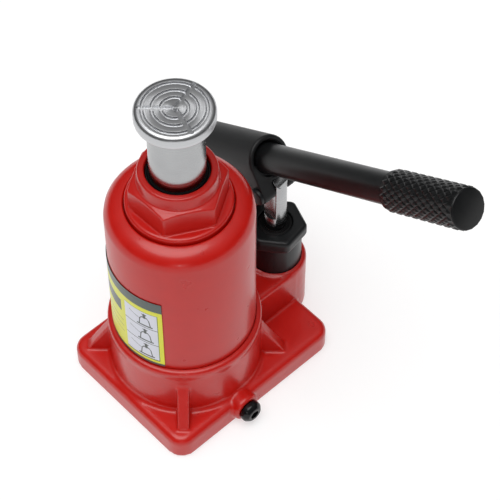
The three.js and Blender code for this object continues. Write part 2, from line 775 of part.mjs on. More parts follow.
// Plunger: a round rod with an O-ring groove, and a flat tang for its pin.
function pumpPlunger() {
  const top = PLUNGER_PIN_Z + PLUNGER_R;
  const bar = turned([
    [0, PLUNGER_BOTTOM],
    [PLUNGER_R - 0.6, PLUNGER_BOTTOM],
    [PLUNGER_R, PLUNGER_BOTTOM + 0.6],
    [PLUNGER_R, PLUNGER_BOTTOM + 2.6],
    [PLUNGER_R - 1.7, PLUNGER_BOTTOM + 2.6],
    [PLUNGER_R - 1.7, PLUNGER_BOTTOM + 5.4],
    [PLUNGER_R, PLUNGER_BOTTOM + 5.4],
    [PLUNGER_R, top],
    [0, top],
  ]);
  const half = TANG_THICK / 2;
  const flatCut = (from, to) => box(-10, 10, from, to, TANG_SHOULDER, top + PAST);
  const roundTop = join(
    box(-10, 10, -10, 10, PLUNGER_BOTTOM - PAST, PLUNGER_PIN_Z),
    along(rod(PLUNGER_R, -10, 10, ROUND), 'y', [0, 0, PLUNGER_PIN_Z]),
  );
  const pinHole = along(rod(PIN_R + RUN, -10, 10), 'y', [0, 0, PLUNGER_PIN_Z]);
  return cut(bar.intersect(roundTop), flatCut(-10, -half), flatCut(half, 10), pinHole)
    .translate([0, PUMP_Y, 0]);
}

const plungerSeal = () =>
  ring(PLUNGER_R - 1.5, PLUNGER_R - 0.05, PLUNGER_BOTTOM + 2.9, PLUNGER_BOTTOM + 5.1, 24)
    .translate([0, PUMP_Y, 0]);

// --------------------------------------------------------------------- linkage

// A body drawn with u along X and v along Z, centred on the pump's plane.
const inSocketPlane = (body) => body
  .rotate([0, -HANDLE_TILT, 0])
  .translate([0, PUMP_Y, HANDLE_Z]);

// Socket: a tube for the handle over two cheeks that hold both pins.
function handleSocket() {
  const length = SOCKET_FRONT_U - SOCKET_BACK_U;
  const tube = along(turned([
    [0, 0],
    [SOCKET_R - 3, 0],
    [SOCKET_R - 0.8, 1],
    [SOCKET_R, 3],
    [SOCKET_R, length - 0.8],
    [SOCKET_R - 0.8, length],
    [0, length],
  ]), 'x', [SOCKET_BACK_U, 0, 0]);
  const back = FULCRUM_PIN_U - 8;
  const outline = new THREE.Shape();
  outline.moveTo(SOCKET_FRONT_U, 0);
  outline.lineTo(back - 4, 0);
  outline.lineTo(back, PIN_V);
  outline.quadraticCurveTo(back, SOCKET_BOTTOM_V, back + 6, SOCKET_BOTTOM_V);
  outline.lineTo(SOCKET_FRONT_U - 3, SOCKET_BOTTOM_V);
  outline.quadraticCurveTo(SOCKET_FRONT_U, SOCKET_BOTTOM_V, SOCKET_FRONT_U, SOCKET_BOTTOM_V + 3);
  outline.closePath();
  const cheeks = prism(outline, -CHEEK_BACK, CHEEK_FRONT).rotate([90, 0, 0]);
  const slot = box(
    back - 6,
    SOCKET_FRONT_U + PAST,
    -SLOT_WIDTH / 2,
    SLOT_WIDTH / 2,
    SOCKET_BOTTOM_V - PAST,
    PIN_V + LINK_EYE_R + 2 * GAP,
  );
  const bore = along(turned([
    [0, 0],
    [ROD_R + GAP, 0],
    [ROD_R + GAP, SOCKET_FRONT_U - ROD_BACK_U],
    [ROD_R + 1.4, SOCKET_FRONT_U - ROD_BACK_U + 1.4],
    [ROD_R + 1.4, SOCKET_FRONT_U - ROD_BACK_U + 3],
    [0, SOCKET_FRONT_U - ROD_BACK_U + 3],
  ]), 'x', [ROD_BACK_U - GAP, 0, 0]);
  const pinHole = (u) => along(rod(PIN_R + GAP, -20, 20), 'y', [u, 0, PIN_V]);
  return inSocketPlane(cut(
    join(tube, cheeks),
    slot,
    bore,
    pinHole(PLUNGER_PIN_U),
    pinHole(FULCRUM_PIN_U),
  ));
}

// A headed pin along Y with a groove for its clip, and the clip.
function headedPin(radius, front, reach, x, z) {
  const pin = turned([
    [0, -front - 2.2],
    [radius + 1.3, -front - 2.2],
    [radius + 1.8, -front - 1.4],
    [radius + 1.8, -front - GAP],
    [radius, -front - GAP],
    [radius, reach + GAP],
    [radius - 0.6, reach + GAP],
    [radius - 0.6, reach + GAP + 1.4],
    [radius, reach + GAP + 1.4],
    [radius, reach + GAP + 2],
    [radius - 0.4, reach + GAP + 2.4],
    [0, reach + GAP + 2.4],
  ], SMALL);
  return along(pin, 'y', [x, PUMP_Y, z]);
}

function pinClip(radius, reach, x, z) {
  const low = reach + 2 * GAP;
  const clip = ring(radius - 0.4, radius + 2.2, low, low + 0.8, SMALL);
  const mouth = box(0, radius + 4, -radius + 1.2, radius - 1.2, low - PAST, low + 2);
  return along(cut(clip, mouth), 'y', [x, PUMP_Y, z]);
}

// Link between the base's lugs and the socket's cheeks.
function fulcrumLink() {
  const half = TANG_THICK / 2;
  const eye = (radius, z) => rod(radius, -half, half, 28).rotate([90, 0, 0]).translate([0, 0, z]);
  const web = prism([
    [-4.4, LINK_FOOT_Z],
    [4.4, LINK_FOOT_Z],
    [4.4, FULCRUM_Z],
    [-4.4, FULCRUM_Z],
  ], -half, half).rotate([90, 0, 0]);
  const hole = (radius, z) => along(rod(radius, -20, 20), 'y', [0, 0, z]);
  return cut(
    join(web, eye(LINK_FOOT_R, LINK_FOOT_Z), eye(LINK_EYE_R, FULCRUM_Z)),
    hole(LINK_FOOT_PIN_R + RUN, LINK_FOOT_Z),
    hole(LINK_EYE_BORE_R, FULCRUM_Z),
  ).translate([FULCRUM_X, PUMP_Y, 0]);
}

// ---------------------------------------------------------------------- handle

function handleRod() {
  const length = GRIP_FRONT_U - 4 - ROD_BACK_U;
  const bar = turned([
    [0, 0],
    [ROD_R - 1.2, 0],
    [ROD_R, 1.2],
    [ROD_R, length],
    [0, length],
  ]);
  return inSocketPlane(along(bar, 'x', [ROD_BACK_U, 0, 0]));
}

// Grip sleeve: its closed end is a plain chamfered disc.
function handleGrip() {
  const length = GRIP_FRONT_U - GRIP_BACK_U;
  const sleeve = turned([
    [ROD_R + GAP, 0],
    [GRIP_R - 1, 0],
    [GRIP_R, 1],
    [GRIP_R, length - 1],
    [GRIP_R - 1, length],
    [0, length],
    [0, length - 3.6],
    [ROD_R + GAP, length - 3.6],
  ]);
  return inSocketPlane(along(sleeve, 'x', [GRIP_BACK_U, 0, 0]));
}

// --------------------------------------------------------------- release valve

function ball(radius, x, y, z) {
  const geometry = new THREE.SphereGeometry(radius, 12, 8);
  geometry.translate(x, y, z);
  return solid(geometry);
}

const releaseBall = () => ball(VALVE_BALL_R, BALL_REST_X, 0, VALVE_Z);

// Screw with an O-ring land, a domed head and a hexagon socket.
function releaseScrew() {
  const tip = BALL_REST_X + VALVE_BALL_R + GAP;
  const head = VALVE_BOSS_FACE + 0.5;
  const body = turned([
    [0, tip],
    [2.6, tip],
    [3, VALVE_THREAD_START + 0.7],
    [VALVE_THREAD_R, VALVE_THREAD_START + 1.9],
    [VALVE_THREAD_R, VALVE_LAND_START + 0.4],
    [VALVE_LAND_R - 0.1, VALVE_LAND_START + 0.4],
    [VALVE_LAND_R - 0.1, VALVE_SEAL_START],
    [VALVE_SEAL_R, VALVE_SEAL_START],
    [VALVE_SEAL_R, VALVE_SEAL_START + 2.6],
    [VALVE_LAND_R - 0.1, VALVE_SEAL_START + 2.6],
    [VALVE_LAND_R - 0.1, head],
    [HEAD_R, head],
    [HEAD_R, head + 2],
    [HEAD_R - 0.6, head + 3.4],
    [HEAD_R - 2, head + 4.6],
    [HEAD_R - 3, head + 5],
    [0, head + 5],
  ], SMALL);
  const socket = prism(hexagon(2.9, 15), head + 2, head + 6);
  return along(cut(body, socket), 'x', [0, 0, VALVE_Z]);
}

function releaseSeal() {
  const low = VALVE_SEAL_START + GAP;
  return along(ring(VALVE_SEAL_R + GAP, VALVE_LAND_R - 0.1, low, low + 2, SMALL), 'x', [0, 0, VALVE_Z]);
}

// ------------------------------------------------- check valves and small plugs

const suctionBall = () => ball(CHECK_BALL_R, 0, PUMP_Y, SUCTION_BALL_Z);


const deliveryBall = () => ball(CHECK_BALL_R, 0, DELIVERY_Y, DELIVERY_BALL_Z);

// Grub screw with a hexagon socket in its outer face, along +Z.
function plug(radius, length, socketRadius) {
  const body = turned([
    [0, 0],
    [radius - 0.5, 0],
    [radius, 0.5],
    [radius, length - 0.5],
    [radius - 0.5, length],
    [0, length],
  ], SMALL);
  return cut(body, prism(hexagon(socketRadius, 0), length / 2, length + PAST));
}

const deliveryPlug = () => plug(DELIVERY_PLUG_R, 3.6, 2.2)
  .rotate([180, 0, 0])
  .translate([0, DELIVERY_Y, DELIVERY_PLUG_TOP]);

function pumpGalleryPlug() {
  const inner = PUMP_Y + BOSS_R - PLUG_DEPTH - 0.6;
  return along(plug(GALLERY_PLUG_R, PLUG_DEPTH, 1.8), 'y', [0, inner, PUMP_GALLERY_Z]);
}

function suctionGalleryPlug() {
  return plug(GALLERY_PLUG_R, PLUG_DEPTH, 1.8)
    .rotate([180, 0, 0])
    .translate([0, 0, -11])
    .rotate([90, 0, SUCTION_TURN])
    .translate([0, PUMP_Y, SUCTION_Z]);
}

// Coil spring between the delivery plug and its ball.
function deliverySpring() {
  const wire = 0.3;
  const low = DELIVERY_PLUG_TOP + 0.6;
  const high = DELIVERY_BALL_Z - CHECK_BALL_R - GAP;
  const turns = 1.5;
  const radius = 1.9;
  const stepsPerTurn = 10;
  const points = [];
  for (let i = 0; i <= turns * stepsPerTurn; i += 1) {
    const angle = (i / stepsPerTurn) * 2 * Math.PI;
    const rise = i / (turns * stepsPerTurn);
    points.push(new THREE.Vector3(
      radius * Math.cos(angle),
      radius * Math.sin(angle),
      low + wire + (high - low - 2 * wire) * rise,
    ));
  }
  const section = new THREE.Shape().absarc(0, 0, wire, 0, 2 * Math.PI, false);
  const geometry = new THREE.ExtrudeGeometry(section, {
    steps: points.length - 1,
    curveSegments: 3,
    bevelEnabled: false,
    extrudePath: new THREE.CatmullRomCurve3(points),
  });
  return solid(geometry).translate([0, DELIVERY_Y, 0]);
}

// -------------------------------------------------------------------- assembly

const jack = new THREE.Group();
jack.name = 'bottle_jack';

function place(name, body, material) {
  const mesh = new THREE.Mesh(geometryOf(body), material);
  mesh.name = name;
  jack.add(mesh);
}

place('base_casting', baseCasting(), RED_ENAMEL);
place('reservoir_tank', reservoirTank(), RED_ENAMEL);
place('tank_gasket', tankGasket(), RUBBER);
place('label', label(), LABEL_FILM);
place('filler_plug', fillerPlug(), RUBBER);
place('top_nut', topNut(), RED_ENAMEL);
place('top_nut_gasket', topNutGasket(), RUBBER);
place('ram_wiper', ramWiper(), RUBBER);
place('ram_seal', ramSeal(), POLYURETHANE);
place('hydraulic_cylinder', hydraulicCylinder(), TURNED_STEEL);
place('cylinder_gasket', cylinderGasket(), COPPER);

place('ram', ram(), CHROME);
place('piston_seal', pistonSeal(), POLYURETHANE);
place('piston_retainer', pistonRetainer(), SPRING_STEEL);
place('saddle_screw', saddleScrew(), TURNED_STEEL);
place('screw_stop_ring', screwStopRing(), SPRING_STEEL);

place('pump_barrel', pumpBarrel(), BLACK_OXIDE);
place('barrel_gasket', barrelGasket(), COPPER);
place('pump_wiper', pumpWiper(), RUBBER);
place('pump_plunger', pumpPlunger(), CHROME);
place('plunger_seal', plungerSeal(), RUBBER);

place('handle_socket', handleSocket(), BLACK_PAINT);
place('fulcrum_link', fulcrumLink(), BLACK_PAINT);
const socketPin = (x, z) => headedPin(PIN_R, CHEEK_FRONT, CHEEK_BACK, x, z);
const socketClip = (x, z) => pinClip(PIN_R, CHEEK_BACK, x, z);
place('plunger_pin', socketPin(0, PLUNGER_PIN_Z), BLACK_OXIDE);
place('plunger_pin_clip', socketClip(0, PLUNGER_PIN_Z), SPRING_STEEL);
place('fulcrum_pin', socketPin(FULCRUM_X, FULCRUM_Z), BLACK_OXIDE);
place('fulcrum_pin_clip', socketClip(FULCRUM_X, FULCRUM_Z), SPRING_STEEL);
place(
  'link_foot_pin',
  headedPin(LINK_FOOT_PIN_R, LUG_REACH, LUG_REACH, FULCRUM_X, LINK_FOOT_Z),
  BLACK_OXIDE,
);
place(
  'link_foot_pin_clip',
  pinClip(LINK_FOOT_PIN_R, LUG_REACH, FULCRUM_X, LINK_FOOT_Z),
  SPRING_STEEL,
);

place('handle_rod', handleRod(), BLACK_PAINT);
place('handle_grip', handleGrip(), BLACK_PAINT);

place('release_screw', releaseScrew(), BLACK_OXIDE);
place('release_seal', releaseSeal(), RUBBER);
place('release_ball', releaseBall(), BEARING_STEEL);
place('suction_ball', suctionBall(), BEARING_STEEL);
place('delivery_ball', deliveryBall(), BEARING_STEEL);
place('delivery_spring', deliverySpring(), SPRING_STEEL);
place('delivery_plug', deliveryPlug(), BLACK_OXIDE);
place('pump_gallery_plug', pumpGalleryPlug(), BLACK_OXIDE);
place('suction_gallery_plug', suctionGalleryPlug(), BLACK_OXIDE);

export default jack;
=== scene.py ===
# %% [markdown]
# # A red hydraulic bottle jack
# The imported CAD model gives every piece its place, its body and its joints. This lesson gives the pieces
# that show their real surfaces: soft cast edges, turned rings, a knurled grip and glossy enamel.
# All sizes below are in millimetres and are turned into metres where a mesh is made.

import json
import math

import bpy
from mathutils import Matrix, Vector


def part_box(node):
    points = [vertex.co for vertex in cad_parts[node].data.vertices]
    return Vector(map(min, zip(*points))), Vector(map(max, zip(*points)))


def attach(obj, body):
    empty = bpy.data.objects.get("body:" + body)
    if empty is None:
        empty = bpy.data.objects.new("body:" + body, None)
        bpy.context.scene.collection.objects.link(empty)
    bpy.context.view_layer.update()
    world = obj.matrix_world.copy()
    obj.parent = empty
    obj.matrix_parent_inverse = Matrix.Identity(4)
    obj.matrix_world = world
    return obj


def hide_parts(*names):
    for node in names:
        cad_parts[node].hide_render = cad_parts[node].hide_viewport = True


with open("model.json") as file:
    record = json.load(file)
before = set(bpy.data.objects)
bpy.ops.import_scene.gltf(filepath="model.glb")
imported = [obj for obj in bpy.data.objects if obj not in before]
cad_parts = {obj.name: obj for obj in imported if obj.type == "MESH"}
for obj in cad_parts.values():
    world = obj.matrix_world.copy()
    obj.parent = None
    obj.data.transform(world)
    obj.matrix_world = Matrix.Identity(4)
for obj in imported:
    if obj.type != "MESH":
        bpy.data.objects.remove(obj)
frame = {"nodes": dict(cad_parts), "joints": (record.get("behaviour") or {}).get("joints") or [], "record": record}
nodes = frame["nodes"]
joints = {joint["name"]: joint for joint in frame["joints"]}
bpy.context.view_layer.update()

MM = 0.001


def box_mm(node):
    """A CAD node's lowest and highest corners, in millimetres."""
    low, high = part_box(node)
    return Vector(low) / MM, Vector(high) / MM


# %% [markdown]
# ## Places read from the CAD
# The pump stands beside the tank, so its axis is needed again and again. The handle leans: the slide joint
# that draws it out of its socket gives its direction, and the bar's box gives a point on its axis.

# %% Pump axis and handle axis
barrel_low, barrel_high = box_mm("pump_barrel")
PUMP_Y = (barrel_low.y + barrel_high.y) / 2
rod_low, rod_high = box_mm("handle_rod")
ROD_R = (rod_high.y - rod_low.y) / 2
HANDLE_AXIS = Vector(joints["handle_draw"]["axis"]).normalized()
HANDLE_LEAN = math.atan2(HANDLE_AXIS.x, HANDLE_AXIS.z)
ROD_LENGTH = 199.5
ROD_FRONT = Vector((rod_high.x - ROD_R * HANDLE_AXIS.z, PUMP_Y, rod_high.z - ROD_R * HANDLE_AXIS.x))
ROD_BACK = ROD_FRONT - HANDLE_AXIS * ROD_LENGTH
link_low, link_high = box_mm("fulcrum_link")
FULCRUM_X = (link_low.x + link_high.x) / 2
print("pump axis y", round(PUMP_Y, 1), "bar", round(2 * ROD_R, 1), "x", round(ROD_LENGTH, 1), "mm")

# %% [markdown]
# ## Drawing tools
# Most of a jack is turned on a lathe, so most pieces start as one vertex that is extruded along half a
# section and then spun. The flat pieces are an outline that is filled and extruded. Castings are several
# such bodies, melted together by a voxel remesh and smoothed, as paint and casting radii soften real edges.


# %% Selecting and naming
def pick(*objects):
    """Select only these objects, with the first one active."""
    if bpy.context.mode != "OBJECT":
        bpy.ops.object.mode_set(mode="OBJECT")
    bpy.ops.object.select_all(action="DESELECT")
    for obj in objects:
        obj.select_set(True)
    bpy.context.view_layer.objects.active = objects[0]


def softened(corners, steps=4):
    """An outline's points with its corners rounded: each corner is (x, y) or (x, y, radius)."""
    points = []
    for i, corner in enumerate(corners):
        here = Vector(corner[:2])
        if len(corner) < 3:
            points.append(here)
            continue
        radius = corner[2]
        back = (Vector(corners[i - 1][:2]) - here).normalized()
        ahead = (Vector(corners[(i + 1) % len(corners)][:2]) - here).normalized()
        half = back.angle(ahead) / 2
        centre = here + (back + ahead).normalized() * radius / math.sin(half)
        reach = radius / math.tan(half)
        start = here + back * reach - centre
        end = here + ahead * reach - centre
        for k in range(steps + 1):
            points.append(centre + start.lerp(end, k / steps).normalized() * radius)
    return points


# %% Selecting edges by rule
def select_edges(obj, rule):
    """In edit mode, select just the edges whose two ends, in millimetres, pass the rule."""
    pick(obj)
    bpy.ops.object.mode_set(mode="EDIT")
    bpy.ops.mesh.select_mode(type="EDGE")
    bpy.ops.mesh.select_all(action="DESELECT")
    bpy.ops.object.mode_set(mode="OBJECT")
    for edge in obj.data.edges:
        a, b = (obj.data.vertices[i].co / MM for i in edge.vertices)
        edge.select = rule(a, b)
    bpy.ops.object.mode_set(mode="EDIT")


# %% One vertex, extruded along a line
def chain(name, points, closed):
    """Edges through 3-D points in millimetres, drawn by extruding a single vertex."""
    bpy.ops.object.select_all(action="DESELECT")
    bpy.ops.mesh.primitive_plane_add(size=MM)
    obj = bpy.context.active_object
    obj.name = name
    bpy.ops.object.mode_set(mode="EDIT")
    bpy.ops.mesh.select_mode(type="VERT")
    bpy.ops.mesh.select_all(action="SELECT")
    bpy.ops.mesh.merge(type="CENTER")
    bpy.ops.transform.translate(value=Vector(points[0]) * MM)
    path = list(points) + ([points[0]] if closed else [])
    for a, b in zip(path, path[1:]):
        step = (Vector(b) - Vector(a)) * MM
        bpy.ops.mesh.extrude_region_move(TRANSFORM_OT_translate={"value": step})
    bpy.ops.mesh.select_all(action="SELECT")
    bpy.ops.mesh.remove_doubles(threshold=1e-6)
    return obj


# %% Turned pieces
def turned(name, profile, steps=64, smooth=35):
    """Half a section of (radius, height) corners, spun about +Z.

    It starts and ends on the axis, or closes on itself to make a ring."""
    points = [(p.x, 0, p.y) for p in softened(profile)]
    on_axis = points[0][0] < 1e-6 and points[-1][0] < 1e-6
    obj = chain(name, points, closed=not on_axis)
    bpy.ops.mesh.select_all(action="SELECT")
    bpy.ops.mesh.spin(steps=steps, angle=2 * math.pi, center=(0, 0, 0), axis=(0, 0, 1))
    bpy.ops.mesh.select_all(action="SELECT")
    bpy.ops.mesh.remove_doubles(threshold=2e-6)
    bpy.ops.mesh.normals_make_consistent(inside=False)
    bpy.ops.object.mode_set(mode="OBJECT")
    bpy.ops.object.shade_smooth_by_angle(angle=math.radians(smooth))
    return obj


# %% Flat pieces
def plate(name, corners, low, high):
    """An outline of (x, z) corners, filled, then extruded from y = low to y = high."""
    points = [(p.x, low, p.y) for p in softened(corners)]
    obj = chain(name, points, closed=True)
    bpy.ops.mesh.select_all(action="SELECT")
    bpy.ops.mesh.edge_face_add()
    thickness = (0, (high - low) * MM, 0)
    bpy.ops.mesh.extrude_region_move(TRANSFORM_OT_translate={"value": thickness})
    bpy.ops.mesh.select_all(action="SELECT")
    bpy.ops.mesh.normals_make_consistent(inside=False)
    bpy.ops.object.mode_set(mode="OBJECT")
    return obj


# %% Placing, cutting and melting together
def placed(obj, at=(0, 0, 0), turn=(0, 0, 0)):
    """Turn a finished mesh, move it to its place, and put both into the mesh."""
    pick(obj)
    obj.rotation_euler = turn
    obj.location = Vector(at) * MM
    bpy.ops.object.transform_apply(location=True, rotation=True, scale=True)
    return obj


def apply_modifier(obj, kind, **settings):
    pick(obj)
    modifier = obj.modifiers.new(kind.lower(), kind)
    for key, value in settings.items():
        setattr(modifier, key, value)
    bpy.ops.object.modifier_apply(modifier=modifier.name)


def cut(obj, *tools):
    """Take the tools' shapes out of the object."""
    for tool in tools:
        apply_modifier(obj, "BOOLEAN", operation="DIFFERENCE", solver="EXACT", object=tool)
        bpy.data.objects.remove(tool)
    return obj


def melted(name, parts, voxel, softness):
    """Overlapping closed bodies as one casting, with its edges softened."""
    pick(*parts)
    bpy.ops.object.join()
    obj = bpy.context.active_object
    obj.name = name
    apply_modifier(obj, "REMESH", mode="VOXEL", voxel_size=voxel * MM)
    apply_modifier(obj, "SMOOTH", factor=0.5, iterations=softness)
    bpy.ops.object.shade_smooth()
    print(name, len(obj.data.polygons), "faces")
    return obj


def creased(obj, angle):
    """Smooth shading that keeps the edges sharper than this many degrees."""
    pick(obj)
    bpy.ops.object.shade_smooth_by_angle(angle=math.radians(angle))


def finished(obj, body, slot, material, *replaced):
    """Say what the piece is made of, what it rides on and which CAD nodes it stands for."""
    obj.data.materials.clear()
    obj.data.materials.append(material)
    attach(obj, body)
    if replaced:
        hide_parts(*replaced)
    return obj


LYING_X = (0, math.radians(90), 0)  # +Z of a turned piece becomes +X
LYING_Y = (math.radians(-90), 0, 0)  # and here +Y

# %% [markdown]
# ## Materials
# One helper turns a swatch into the linear values that shaders use, and one adds a node with its settings
# and its links. Every finish reads Object coordinates, so its grain is in real millimetres.


# %% Material helpers
def swatch(hex_code):
    """An sRGB colour such as 'CE1D14' as linear red, green, blue and alpha."""
    channels = [int(hex_code[i:i + 2], 16) / 255 for i in (0, 2, 4)]
    linear = [c / 12.92 if c <= 0.04045 else ((c + 0.055) / 1.055) ** 2.4 for c in channels]
    return (*linear, 1)


def add(tree, kind, sockets=None, **settings):
    """A new node. A socket is given a value, or another node's output to link."""
    node = tree.nodes.new("ShaderNode" + kind)
    for key, value in settings.items():
        setattr(node, key, value)
    for name, value in (sockets or {}).items():
        if isinstance(value, bpy.types.NodeSocket):
            tree.links.new(value, node.inputs[name])
        else:
            node.inputs[name].default_value = value
    return node


def finish(name, **sockets):
    """A material with its shader's plain values set: its tree, its shader and its coordinates."""
    material = bpy.data.materials.new(name)
    material.use_nodes = True
    tree = material.node_tree
    shader = tree.nodes["Principled BSDF"]
    for key, value in sockets.items():
        shader.inputs[key.replace("_", " ")].default_value = value
    place = add(tree, "TexCoord").outputs["Object"]
    return material, tree, shader, place


def mottled(tree, place, grain, dark, light, detail=3.0):
    """Two close colours mixed by a noise whose patches are about this many millimetres across."""
    noise = add(tree, "TexNoise", {"Vector": place, "Scale": 1 / (grain * MM), "Detail": detail})
    mix = add(tree, "Mix", {"Factor": noise.outputs["Fac"]}, data_type="RGBA")
    mix.inputs["A"].default_value = swatch(dark)
    mix.inputs["B"].default_value = swatch(light)
    return noise, mix.outputs["Result"]


def spread(tree, value, low, high):
    """A 0 to 1 value spread between two numbers."""
    remap = add(tree, "MapRange", {"Value": value, "To Min": low, "To Max": high})
    return remap.outputs["Result"]


def raised(tree, shader, height, depth, strength=1.0):
    """A bump of this depth in millimetres on the shader's normal."""
    bump = add(tree, "Bump", {"Height": height, "Distance": depth * MM, "Strength": strength})
    tree.links.new(bump.outputs["Normal"], shader.inputs["Normal"])
    return bump


# %% [markdown]
# ### Red enamel
# Sprayed gloss enamel: a saturated red under a clear, hard shine, with the slight orange peel of a spray
# gun. On the casting, the sand mould's coarser skin shows through the paint as a soft unevenness.


# %% Red enamel
def red_enamel(name, peel_depth, skin_depth):
    material, tree, shader, place = finish(
        name, Roughness=0.3, IOR=1.5, Specular_IOR_Level=0.4, Coat_Weight=0.18, Coat_Roughness=0.07)
    noise, red = mottled(tree, place, 9, "BC120A", "C8180E")
    tree.links.new(red, shader.inputs["Base Color"])
    tree.links.new(spread(tree, noise.outputs["Fac"], 0.24, 0.36), shader.inputs["Roughness"])
    peel = add(tree, "TexNoise", {"Vector": place, "Scale": 1 / (1.6 * MM), "Detail": 1.0})
    skin = add(tree, "TexNoise", {"Vector": place, "Scale": 1 / (5 * MM), "Detail": 2.0})
    under = add(tree, "Bump", {
        "Height": skin.outputs["Fac"], "Distance": skin_depth * MM, "Strength": 1.0})
    bump = raised(tree, shader, peel.outputs["Fac"], peel_depth)
    tree.links.new(under.outputs["Normal"], bump.inputs["Normal"])
    return material


SHEET_ENAMEL = red_enamel("gloss_red_enamel_on_drawn_steel", 0.006, 0.02)
CAST_ENAMEL = red_enamel("gloss_red_enamel_on_cast_iron", 0.012, 0.12)

# %% [markdown]
# ### Steel that is left bright
# The ram is ground and hard-chromed: a satin mirror with faint rings from the grinding wheel. The saddle is
# turned, and its lands keep the feed marks of the tool, which drag every reflection into a fan. Grinding
# marks are a few hundredths of a millimetre apart; here they are drawn at 0.35 mm, so that they show.


# %% Bright steels
def rings_about(tree, place, centre_y, pitch):
    """Noise that changes only with the distance from a vertical axis and with the height."""
    centred = add(tree, "Mapping", {"Vector": place, "Location": (0, -centre_y * MM, 0)})
    split = add(tree, "SeparateXYZ", {"Vector": centred.outputs["Vector"]})
    flat = add(tree, "CombineXYZ", {"X": split.outputs["X"], "Y": split.outputs["Y"]})
    radius = add(tree, "VectorMath", {0: flat.outputs["Vector"]}, operation="LENGTH")
    both = add(tree, "CombineXYZ", {"X": radius.outputs["Value"], "Z": split.outputs["Z"]})
    return add(tree, "TexNoise", {
        "Vector": both.outputs["Vector"], "Scale": 1 / (pitch * MM), "Detail": 2.0, "Roughness": 0.6})


def ground_chrome(name, centre_y):
    material, tree, shader, place = finish(name, Metallic=1.0, Anisotropic=0.8)
    rings = rings_about(tree, place, centre_y, 0.35)
    _, tone = mottled(tree, place, 14, "A2A3A4", "B4B5B6")
    tree.links.new(tone, shader.inputs["Base Color"])
    tree.links.new(spread(tree, rings.outputs["Fac"], 0.16, 0.34), shader.inputs["Roughness"])
    tangent = add(tree, "Tangent", direction_type="RADIAL", axis="Z")
    tree.links.new(tangent.outputs["Tangent"], shader.inputs["Tangent"])
    raised(tree, shader, rings.outputs["Fac"], 0.006)
    return material


def turned_steel(name, centre_y):
    material, tree, shader, place = finish(name, Metallic=1.0, Anisotropic=0.85)
    rings = rings_about(tree, place, centre_y, 0.5)
    tone = add(tree, "Mix", {"Factor": rings.outputs["Fac"]}, data_type="RGBA")
    tone.inputs["A"].default_value = swatch("A9AAAC")
    tone.inputs["B"].default_value = swatch("D9DADC")
    tree.links.new(tone.outputs["Result"], shader.inputs["Base Color"])
    tree.links.new(spread(tree, rings.outputs["Fac"], 0.26, 0.42), shader.inputs["Roughness"])
    tangent = add(tree, "Tangent", direction_type="RADIAL", axis="Z")
    tree.links.new(tangent.outputs["Tangent"], shader.inputs["Tangent"])
    raised(tree, shader, rings.outputs["Fac"], 0.02)
    return material


RAM_CHROME = ground_chrome("ground_hard_chrome", 0)
PLUNGER_CHROME = ground_chrome("ground_bright_plunger_steel", PUMP_Y)
SADDLE_STEEL = turned_steel("lathe_turned_steel", 0)

# %% [markdown]
# ### Black finishes
# The socket and the bar are painted satin black: it lifts to a soft dark grey where light grazes it. The
# pump barrel and the pins are blackened in a hot oxide bath, which leaves the machined steel's sheen. The
# grip is blackened too.


# %% Black finishes
def satin_black(name, dark, light, roughness, grain, depth):
    material, tree, shader, place = finish(name, IOR=1.5, Specular_IOR_Level=0.3)
    noise, tone = mottled(tree, place, 7, dark, light)
    tree.links.new(tone, shader.inputs["Base Color"])
    low, high = roughness
    tree.links.new(spread(tree, noise.outputs["Fac"], low, high), shader.inputs["Roughness"])
    grit = add(tree, "TexNoise", {"Vector": place, "Scale": 1 / (grain * MM), "Detail": 2.0})
    raised(tree, shader, grit.outputs["Fac"], depth)
    return material


SOCKET_PAINT = satin_black("satin_black_paint_on_forging", "111213", "1A1B1C", (0.4, 0.52), 0.9, 0.03)
BAR_PAINT = satin_black("satin_black_paint_on_bar", "0E0F10", "161718", (0.3, 0.4), 0.6, 0.008)
BLACK_OXIDE = satin_black("hot_black_oxide_on_steel", "101213", "1B1D1F", (0.28, 0.4), 0.5, 0.01)
GLOSS_BLACK = satin_black("glossy_black_oxide_on_valve_screw", "0B0C0D", "121314", (0.12, 0.22), 0.5, 0.004)
KNURL_BLACK = satin_black("blackened_knurled_steel", "08090A", "131415", (0.28, 0.42), 0.4, 0.012)

# %% [markdown]
# ### Small parts
# Rubber is matt, polyurethane seals are amber and waxy, copper washers are soft and warm, and clips and
# springs are drawn wire. Each gets its own grain, because even a small part shows one when it is turned.


# %% Small finishes
def metal(name, dark, light, roughness, grain=2.0, depth=0.006):
    material, tree, shader, place = finish(name, Metallic=1.0)
    noise, tone = mottled(tree, place, grain, dark, light)
    tree.links.new(tone, shader.inputs["Base Color"])
    low, high = roughness
    tree.links.new(spread(tree, noise.outputs["Fac"], low, high), shader.inputs["Roughness"])
    raised(tree, shader, noise.outputs["Fac"], depth)
    return material


RUBBER = satin_black("moulded_nitrile_rubber", "0C0C0D", "161617", (0.6, 0.75), 0.4, 0.02)
POLYURETHANE = satin_black("cast_polyurethane", "B9801F", "CF9A38", (0.4, 0.5), 0.8, 0.01)
COPPER = metal("annealed_copper_washer", "A35A30", "C07A4C", (0.3, 0.45))
SPRING_STEEL = metal("drawn_spring_steel", "7C7D7F", "9C9DA0", (0.25, 0.4))
BALL_STEEL = metal("polished_ball_steel", "C9CBCE", "DADCDE", (0.06, 0.1), 3.0, 0.001)
CYLINDER_STEEL = turned_steel("honed_cylinder_steel", 0)

# %% [markdown]
# ## Base casting
# One iron casting carries everything: a thick plate with a rounded edge, a collar that grips the tank, four
# webs that brace the collar, a boss for the pump, two lugs for the linkage and a boss for the release valve.
# Each is made as a simple body and all are melted together, which gives the casting its fillets.


